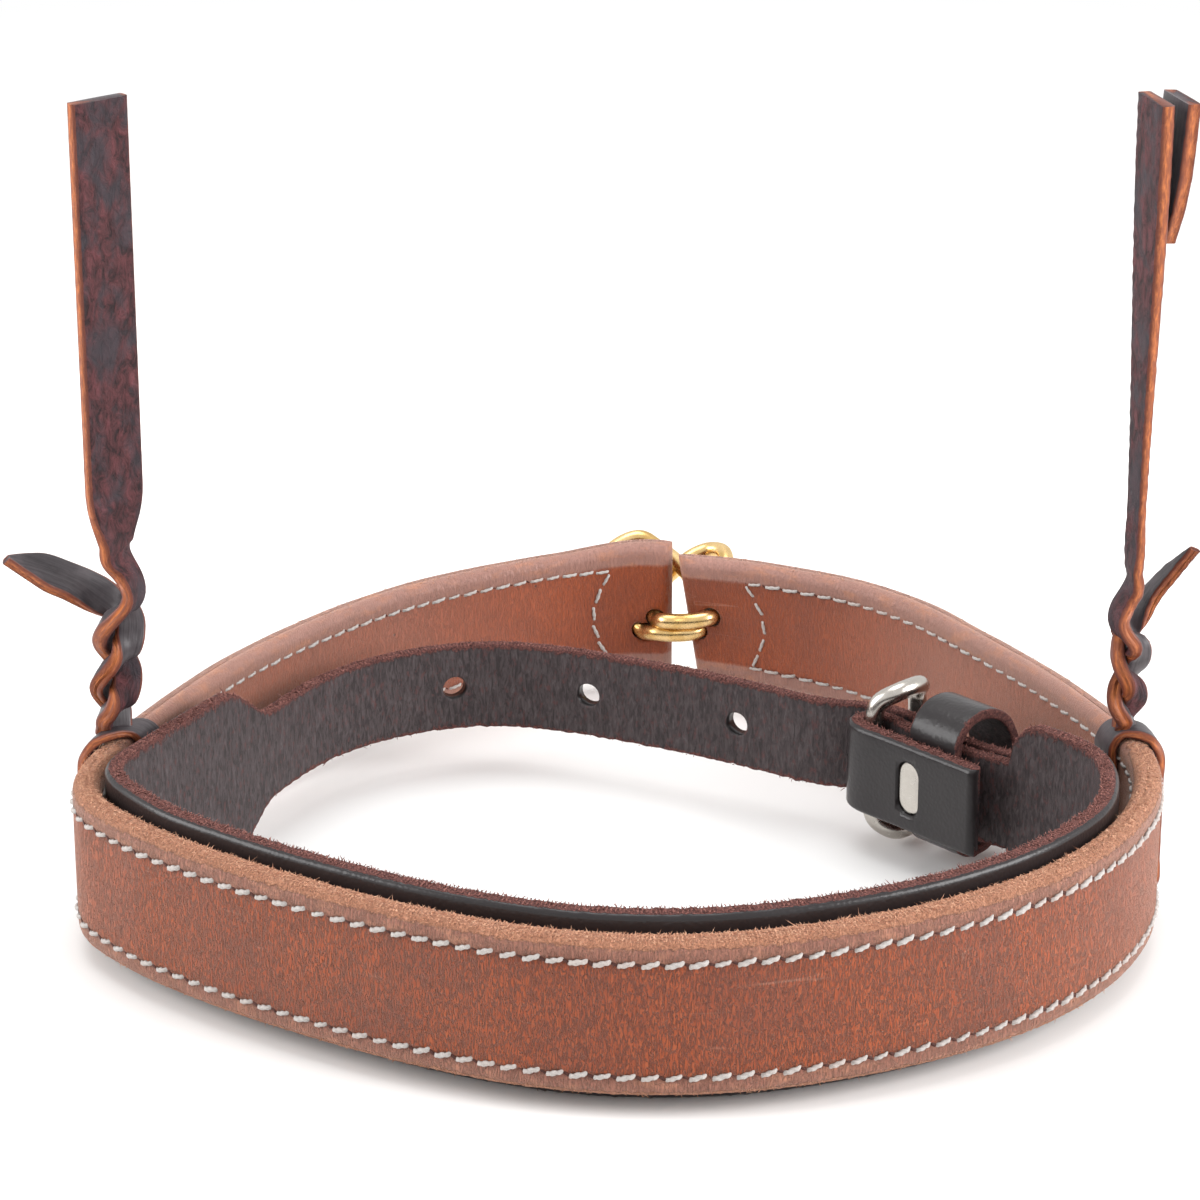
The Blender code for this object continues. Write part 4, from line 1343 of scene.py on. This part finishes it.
def strand(h, low, high, half_turn):
    """Path, width direction and width of one strand of the twist, up to where it lies flat."""
    z = np.arange(low, high + 0.01, 0.5)
    sign, crossing = h["sign"], h["crossing"]
    turn_deg = -90 - sign * h["rate"] * (crossing - z) + half_turn * sign
    turn = np.radians(turn_deg)
    reach, narrow = h["strand"]
    foot_in = ease(38.5 - z, 0.0, 4.0)
    out = reach * np.clip((crossing + 13 - z) / 11, 0, 1)
    out -= 0.8 * ease(crossing + 1.0 - z, 0.0, 5.0) + 1.1 * foot_in
    k = np.clip((z - PIVOT_HEIGHT) / 21.0, 0, 1)
    foot, top = h["foot"], h["top"]
    path = np.stack(
        [foot[0] + (top[0] - foot[0]) * k + out * np.cos(turn),
         foot[1] + (top[1] - foot[1]) * k + out * np.sin(turn), z], axis=1
    )
    flat = ease(z, crossing + 1, crossing + 24)
    lie = -90 - sign * (10 + 12 * np.cos(turn) * sign)
    # Below the first crossing a strand shows its edge in front and on the left, its flat side
    # on the right
    turns = (sign * (-90 - turn_deg) / 360) % 1.0
    wound_lie = -90 - 180 * np.interp(turns if sign > 0 else 1 - turns, *TWIST.T)
    wound = ease(crossing + 1.0 - z, 0.0, 3.0)
    lie = lie * (1 - wound) + wound_lie * wound
    upright = h["face"] - sign * 90
    lie = np.radians(lie * (1 - flat) + upright * flat)
    wide = np.stack([np.cos(lie), np.sin(lie), 0 * lie], axis=1)
    slim = 1 - h["slimmed"] * ease(150 - z, 0, 80) * flat
    widths = narrow - 1.0 * foot_in + (HANGER_WIDE * slim - narrow) * flat
    return path, wide, widths, 0.5 * wound - (1 - slim) * HANGER_THICK * 0.75


class NOSEBAND_OT_hangers(bpy.types.Operator):
    """Builds both hanger straps with their twist, tails and the doubled end on the right."""

    bl_idname = "noseband.hangers"
    bl_label = "Hangers"

    def execute(self, context):
        for side, h in HANGERS.items():
            body = f"hanger_{side}"
            sign = h["sign"]
            path, wide, widths, swell = strand(h, STRAND_FOOT, CROWN_CUT, 0)
            path[-1, 2] = CROWN_CUT
            strap = flat_strap(
                f"hanger_{side}_upright", path, wide, widths, HANGER_THICK + swell, sign,
                finish_of("latigo_leather"),
            )
            finish(strap, body, "latigo_leather", f"hanger_{side}_strap")
            tail = self.tail(side, h)
            finish(tail, body, "latigo_leather", f"hanger_{side}_tail")
        second = self.second_ply()
        finish(second, "hanger_right", "latigo_leather", "hanger_right_second_ply")
        return {"FINISHED"}

    def tail(self, side, h):
        sign = h["sign"]
        path, wide, widths, swell = strand(h, STRAND_FOOT, h["crossing"] - 1.5, 180)
        start = path[-1]
        way = np.array(h["tip"]) - start
        more, lies, sizes_on = [], [], []
        for k in (0.12, 0.24, 0.38, 0.52, 0.68, 0.84, 1.0):
            bow = np.array(
                (0, 3.4 * math.sin(math.pi * k) + 1.6 * (1 - k), -0.5 * math.sin(math.pi * k))
            )
            more.append(start + way * k + bow)
            lie = math.radians(20 + 46 * np.clip((k - 0.12) / 0.36, 0, 1))
            lies.append((0.0, -math.sin(lie), -math.cos(lie)))
            sizes_on.append(np.interp(k, *h["tail_wide"]))
        rows = np.c_[
            np.vstack([path[::3], more]),
            np.vstack([wide[::3], lies]),
            np.r_[widths[::3], sizes_on],
            np.r_[TAIL_THICK + swell[::3], np.full(len(more), TAIL_THICK)],
        ]
        rows = smoothed(even(curve_at(rows, per=8), 0.5), 4)
        return flat_strap(
            f"hanger_{side}_loose_end", rows[:, :3], rows[:, 3:6], rows[:, 6], rows[:, 7], -sign,
            finish_of("latigo_leather"),
        )

    def second_ply(self):
        z = np.linspace(SECOND_FOOT, CROWN_CUT, 30)
        away = 2.95 + 2.0 * (z - SECOND_FOOT) / (CROWN_CUT - SECOND_FOOT)
        path = np.stack([97.6 + 0.961 * away, -80.0 + 0.276 * away, z], axis=1)
        lie = math.radians(-74)
        wide = np.tile((math.cos(lie), math.sin(lie), 0.0), (len(z), 1))
        widths = np.interp(z, (SECOND_FOOT, 133.5, 140.0), (4.0, 9.0, SECOND_WIDE))
        return flat_strap(
            "hanger_right_doubling", path, wide, widths, SECOND_THICK, 1,
            finish_of("latigo_leather"),
        )


class NOSEBAND_OT_loops(bpy.types.Operator):
    """Builds the turns of latigo that tie each hanger round the band."""

    bl_idname = "noseband.loops"
    bl_label = "Hanger loops"

    def execute(self, context):
        band, run, _, _ = band_path()
        along = tangents(band)
        outside = LOOP_THICK / 2 + 0.25
        inside = -(BOTH_PLIES + 0.35 + LOOP_THICK / 2)
        under = BAND_BOTTOM - LOOP_THICK / 2 - 0.45
        over = BAND_TOP + LOOP_THICK / 2 + 0.45
        middle = (outside + inside) / 2
        loop = [
            (outside, 18), (outside, 10), (outside - 0.1, under + 2.65),
            (outside - 1.3, under + 0.35), (middle, under), (inside + 1.4, under + 0.35),
            (inside + 0.05, under + 2.65), (inside, 10), (inside, 18), (inside, 26),
            (inside + 0.1, over - 2.6), (inside + 1.3, over - 0.6), (middle, over),
            (outside - 1.3, over - 0.7), (outside - 0.1, over - 2.7), (outside, 26),
        ]
        path = even(curve_at(loop, closed=True), 0.6, True)
        for side, h in HANGERS.items():
            tied = run[np.argmin(np.linalg.norm(band[:, :2] - h["at"], axis=1))]
            outer_shift, inner_shift = h["shifts"]
            share = (path[:, 0] - inside) / (outside - inside)
            place = tied + inner_shift + (outer_shift - inner_shift) * share
            x, y, _ = read_at(place, run, band).T
            tx, ty, _ = read_at(place, run, along).T
            points = np.stack([x + ty * path[:, 0], y - tx * path[:, 0], path[:, 1]], axis=1)
            wide = np.stack([tx, ty, 0 * tx], axis=1)
            widths = LOOP_WIDE - LOOP_NARROWING * np.clip((path[:, 1] - 27) / (over - 27), 0, 1)
            turned = flat_strap(
                f"hanger_{side}_turn", points, wide, widths, LOOP_THICK, -1,
                finish_of("latigo_leather"), closed=True, slant=True,
            )
            finish(turned, NOSEBAND, "latigo_leather", f"hanger_{side}_loop")
        return {"FINISHED"}


# Fibres


def fibre_tufts(name, root, rise, length_mm, radius, material, slot, seed):
    """Many short curved fibres in one mesh, each tapering to a point."""
    rng = np.random.default_rng(seed)
    n = len(root)
    size = length_mm * rng.lognormal(-0.1, 0.4, n)[:, None]
    bend = rng.normal(size=(n, 3)) * 0.55
    side = np.cross(rise, rng.normal(size=(n, 3)))
    side /= np.linalg.norm(side, axis=1)[:, None] + 1e-9
    other = np.cross(rise, side)
    thick = radius * rng.uniform(0.7, 1.3, n)[:, None]
    verts = []
    for share, width in ((0.0, 1.0), (0.55, 0.8)):
        middle = root + rise * size * (share - 0.15) + bend * size * share**2 * 0.5
        for k in range(3):
            turn = 2 * math.pi * k / 3
            verts.append(middle + (side * math.cos(turn) + other * math.sin(turn)) * thick * width)
    verts.append(root + rise * size * 0.85 + bend * size * 0.5)
    verts = np.stack(verts, axis=1).reshape(-1, 3)
    shape = [(0, 1, 4, 3), (1, 2, 5, 4), (2, 0, 3, 5), (3, 4, 6), (4, 5, 6), (5, 3, 6), (2, 1, 0)]
    faces = [[7 * i + k for k in face] for i in range(n) for face in shape]
    obj = new_object(name, verts, faces, material=material, sharp=180.0)
    finish(obj, NOSEBAND, slot)


class NOSEBAND_OT_fibres(bpy.types.Operator):
    """Raises the open fibres on the band's cut edge and on the lining's edges."""

    bl_idname = "noseband.fibres"
    bl_label = "Edge fibres"

    def execute(self, context):
        s = sizes()
        margin, top_share = 0.9, 0.88
        rng = np.random.default_rng(41)
        path, run, low, high = band_path()
        across = right_of(path)
        along = tangents(path)
        weight = 0.03 + 0.97 * front_share(path)
        chance = np.cumsum(weight) / weight.sum()
        count = int(run[-1] * s.fibres * 0.8)
        i = np.searchsorted(chance, rng.uniform(size=count))
        depth = rng.uniform(margin, BOTH_PLIES - margin, count)
        top = rng.uniform(size=count) < top_share
        bend = np.clip(1.6 - np.minimum(depth, BOTH_PLIES - depth), 0, None) * 0.55
        z = np.where(top, high[i] - bend, low[i] + bend)
        root = path[i] - across[i] * depth[:, None] + UP * z[:, None]
        rise = along[i] * rng.normal(size=(count, 1)) + across[i] * rng.normal(size=(count, 1))
        rise += UP * (np.where(top, 1, -1) * rng.uniform(0.15, 0.6, count))[:, None]
        rise /= np.linalg.norm(rise, axis=1)[:, None]
        fibre_tufts(
            "band_edge_fibres", root, rise, s.tan_fibre / MM, 0.065, finish_of("tan_fibre"),
            "band_leather", 42,
        )
        path, run, low, high, thick = lining_path()
        across = right_of(path)
        along = tangents(path)
        count = int(run[-1] * s.fibres)
        i = rng.integers(2, len(path) - 2, count)
        top = rng.uniform(size=count) < 0.95
        depth = thick[i] * rng.uniform(-0.5, 0.2, count)
        z = np.where(top, high[i], low[i])
        root = path[i] + across[i] * depth[:, None] + UP * z[:, None]
        rise = 0.7 * along[i] * rng.normal(size=(count, 1))
        rise -= across[i] * rng.normal(0.25, 0.7, (count, 1))
        rise += UP * np.where(top, 0.9, -0.9)[:, None]
        rise /= np.linalg.norm(rise, axis=1)[:, None]
        fibre_tufts(
            "lining_edge_fuzz", root, rise, s.fuzz / MM, 0.1, finish_of("burgundy_fibre"),
            "liner_leather", 43,
        )
        return {"FINISHED"}


# Stage


def area_lamp(name, place, aim, size, watts):
    lamp = bpy.data.lights.new(name, "AREA")
    lamp.shape = "DISK"
    lamp.size = size
    lamp.energy = watts
    obj = bpy.data.objects.new(name, lamp)
    obj.location = place
    way = np.array(aim) - np.array(place)
    obj.rotation_euler = (
        math.acos(-way[2] / np.linalg.norm(way)), 0.0, math.atan2(way[1], way[0]) - math.pi / 2,
    )
    bpy.context.scene.collection.objects.link(obj)


class NOSEBAND_OT_stage(bpy.types.Operator):
    """Lays the pale floor and stands the camera and lamps."""

    bl_idname = "noseband.stage"
    bl_label = "Stage"

    def execute(self, context):
        scene = context.scene
        self.stand_camera(scene)
        self.lay_floor(scene)
        self.light_studio(scene)
        scene.view_settings.view_transform = "Standard"
        return {"FINISHED"}

    def stand_camera(self, scene):
        cam = bpy.data.cameras.new("camera")
        cam.lens = 126.0
        cam.sensor_width = 36.0
        cam.clip_start = 0.01
        cam.clip_end = 50.0
        camera = bpy.data.objects.new("camera", cam)
        camera.location = (-0.00007, -0.7321, 0.3349)
        camera.rotation_euler = (math.radians(69.0), 0.0, 0.0)
        scene.collection.objects.link(camera)
        scene.camera = camera

    def backdrop_share(self, tree):
        """1 where the camera, a reflection or a clear piece looks at the backdrop."""
        rays = add(tree, "LightPath").outputs
        seen = rays["Is Camera Ray"]
        for kind in ("Is Glossy Ray", "Is Transmission Ray"):
            seen = add(tree, "Math", {0: seen, 1: rays[kind]}, operation="MAXIMUM").outputs[0]
        return seen

    def lay_floor(self, scene):
        paint, tree, shader = new_material("painted_plywood_floor", 0.9)
        body = coats(tree, "#F4F3F2", ("#F8F8F7", solid_pattern(tree, 40.0)))
        plug(tree, shader, {"Base Color": body, "Specular IOR Level": 0.1})
        # Beyond the lamps' reach the floor is shown as white as the backdrop
        where = add(tree, "TexCoord").outputs["Object"]
        reach = add(tree, "VectorMath", {0: where}, operation="LENGTH").outputs["Value"]
        beyond = add(tree, "MapRange", {0: reach, 1: 0.3, 2: 0.75}).outputs[0]
        sockets = {0: beyond, 1: self.backdrop_share(tree)}
        beyond = add(tree, "Math", sockets, operation="MULTIPLY").outputs[0]
        white = add(tree, "Emission", {0: (1, 1, 1), 1: 1.0}).outputs[0]
        shown = add(tree, "MixShader", {0: beyond, 1: shader.outputs[0], 2: white}).outputs[0]
        plug(tree, tree.nodes["Material Output"], {0: shown})
        half = 3.0
        corners = [(-half, -half, 0), (half, -half, 0), (half, half, 0), (-half, half, 0)]
        mesh = bpy.data.meshes.new("floor")
        mesh.from_pydata(corners, [], [(0, 1, 2, 3)])
        mesh.materials.append(paint)
        floor = bpy.data.objects.new("floor", mesh)
        floor.location.z = -0.0005
        scene.collection.objects.link(floor)

    def light_studio(self, scene):
        world = bpy.data.worlds.new("studio")
        scene.world = world
        world.use_nodes = True
        tree = world.node_tree
        tree.nodes.clear()
        fill = add(tree, "Background", {0: (1, 1, 1), 1: 0.66}).outputs[0]
        white = add(tree, "Background", {0: (1, 1, 1), 1: 1.0}).outputs[0]
        sockets = {0: self.backdrop_share(tree), 1: fill, 2: white}
        add(tree, "OutputWorld", {0: add(tree, "MixShader", sockets).outputs[0]})
        aim = (0, 0, 0.02)
        area_lamp("top_softbox", (-0.1, 0.15, 1.25), aim, 1.0, 8.0)
        area_lamp("left_softbox", (-1.0, -0.15, 0.45), aim, 0.8, 9.5)
        area_lamp("right_softbox", (1.0, -0.35, 0.5), aim, 0.8, 15.0)


class NOSEBAND_PT_panel(bpy.types.Panel):
    """Lists the steps that build the noseband."""

    bl_idname = "NOSEBAND_PT_panel"
    bl_label = "Noseband"
    bl_space_type = "VIEW_3D"
    bl_region_type = "UI"
    bl_category = "Noseband"

    def draw(self, context):
        for step in STEPS:
            self.layout.operator(step.bl_idname)
        for group in (sizes(), colours()):
            box = self.layout.column(align=True)
            for name in group.__annotations__:
                box.prop(group, name)


STEPS = (
    NOSEBAND_OT_band, NOSEBAND_OT_sewing, NOSEBAND_OT_lining, NOSEBAND_OT_keeper,
    NOSEBAND_OT_buckle, NOSEBAND_OT_rings, NOSEBAND_OT_hangers, NOSEBAND_OT_loops,
    NOSEBAND_OT_fibres, NOSEBAND_OT_stage,
)
CLASSES = (NosebandSizes, NosebandColours, *STEPS, NOSEBAND_PT_panel)


def register():
    for cls in CLASSES:
        bpy.utils.register_class(cls)
    bpy.types.Scene.noseband_sizes = bpy.props.PointerProperty(type=NosebandSizes)
    bpy.types.Scene.noseband_colours = bpy.props.PointerProperty(type=NosebandColours)


def unregister():
    del bpy.types.Scene.noseband_sizes
    del bpy.types.Scene.noseband_colours
    for cls in reversed(CLASSES):
        bpy.utils.unregister_class(cls)


def main():
    register()
    bpy.ops.noseband.band()
    bpy.ops.noseband.sewing()
    bpy.ops.noseband.lining()
    bpy.ops.noseband.keeper()
    bpy.ops.noseband.buckle()
    bpy.ops.noseband.rings()
    bpy.ops.noseband.hangers()
    bpy.ops.noseband.loops()
    bpy.ops.noseband.fibres()
    bpy.ops.noseband.stage()


if __name__ == "__main__":
    main()
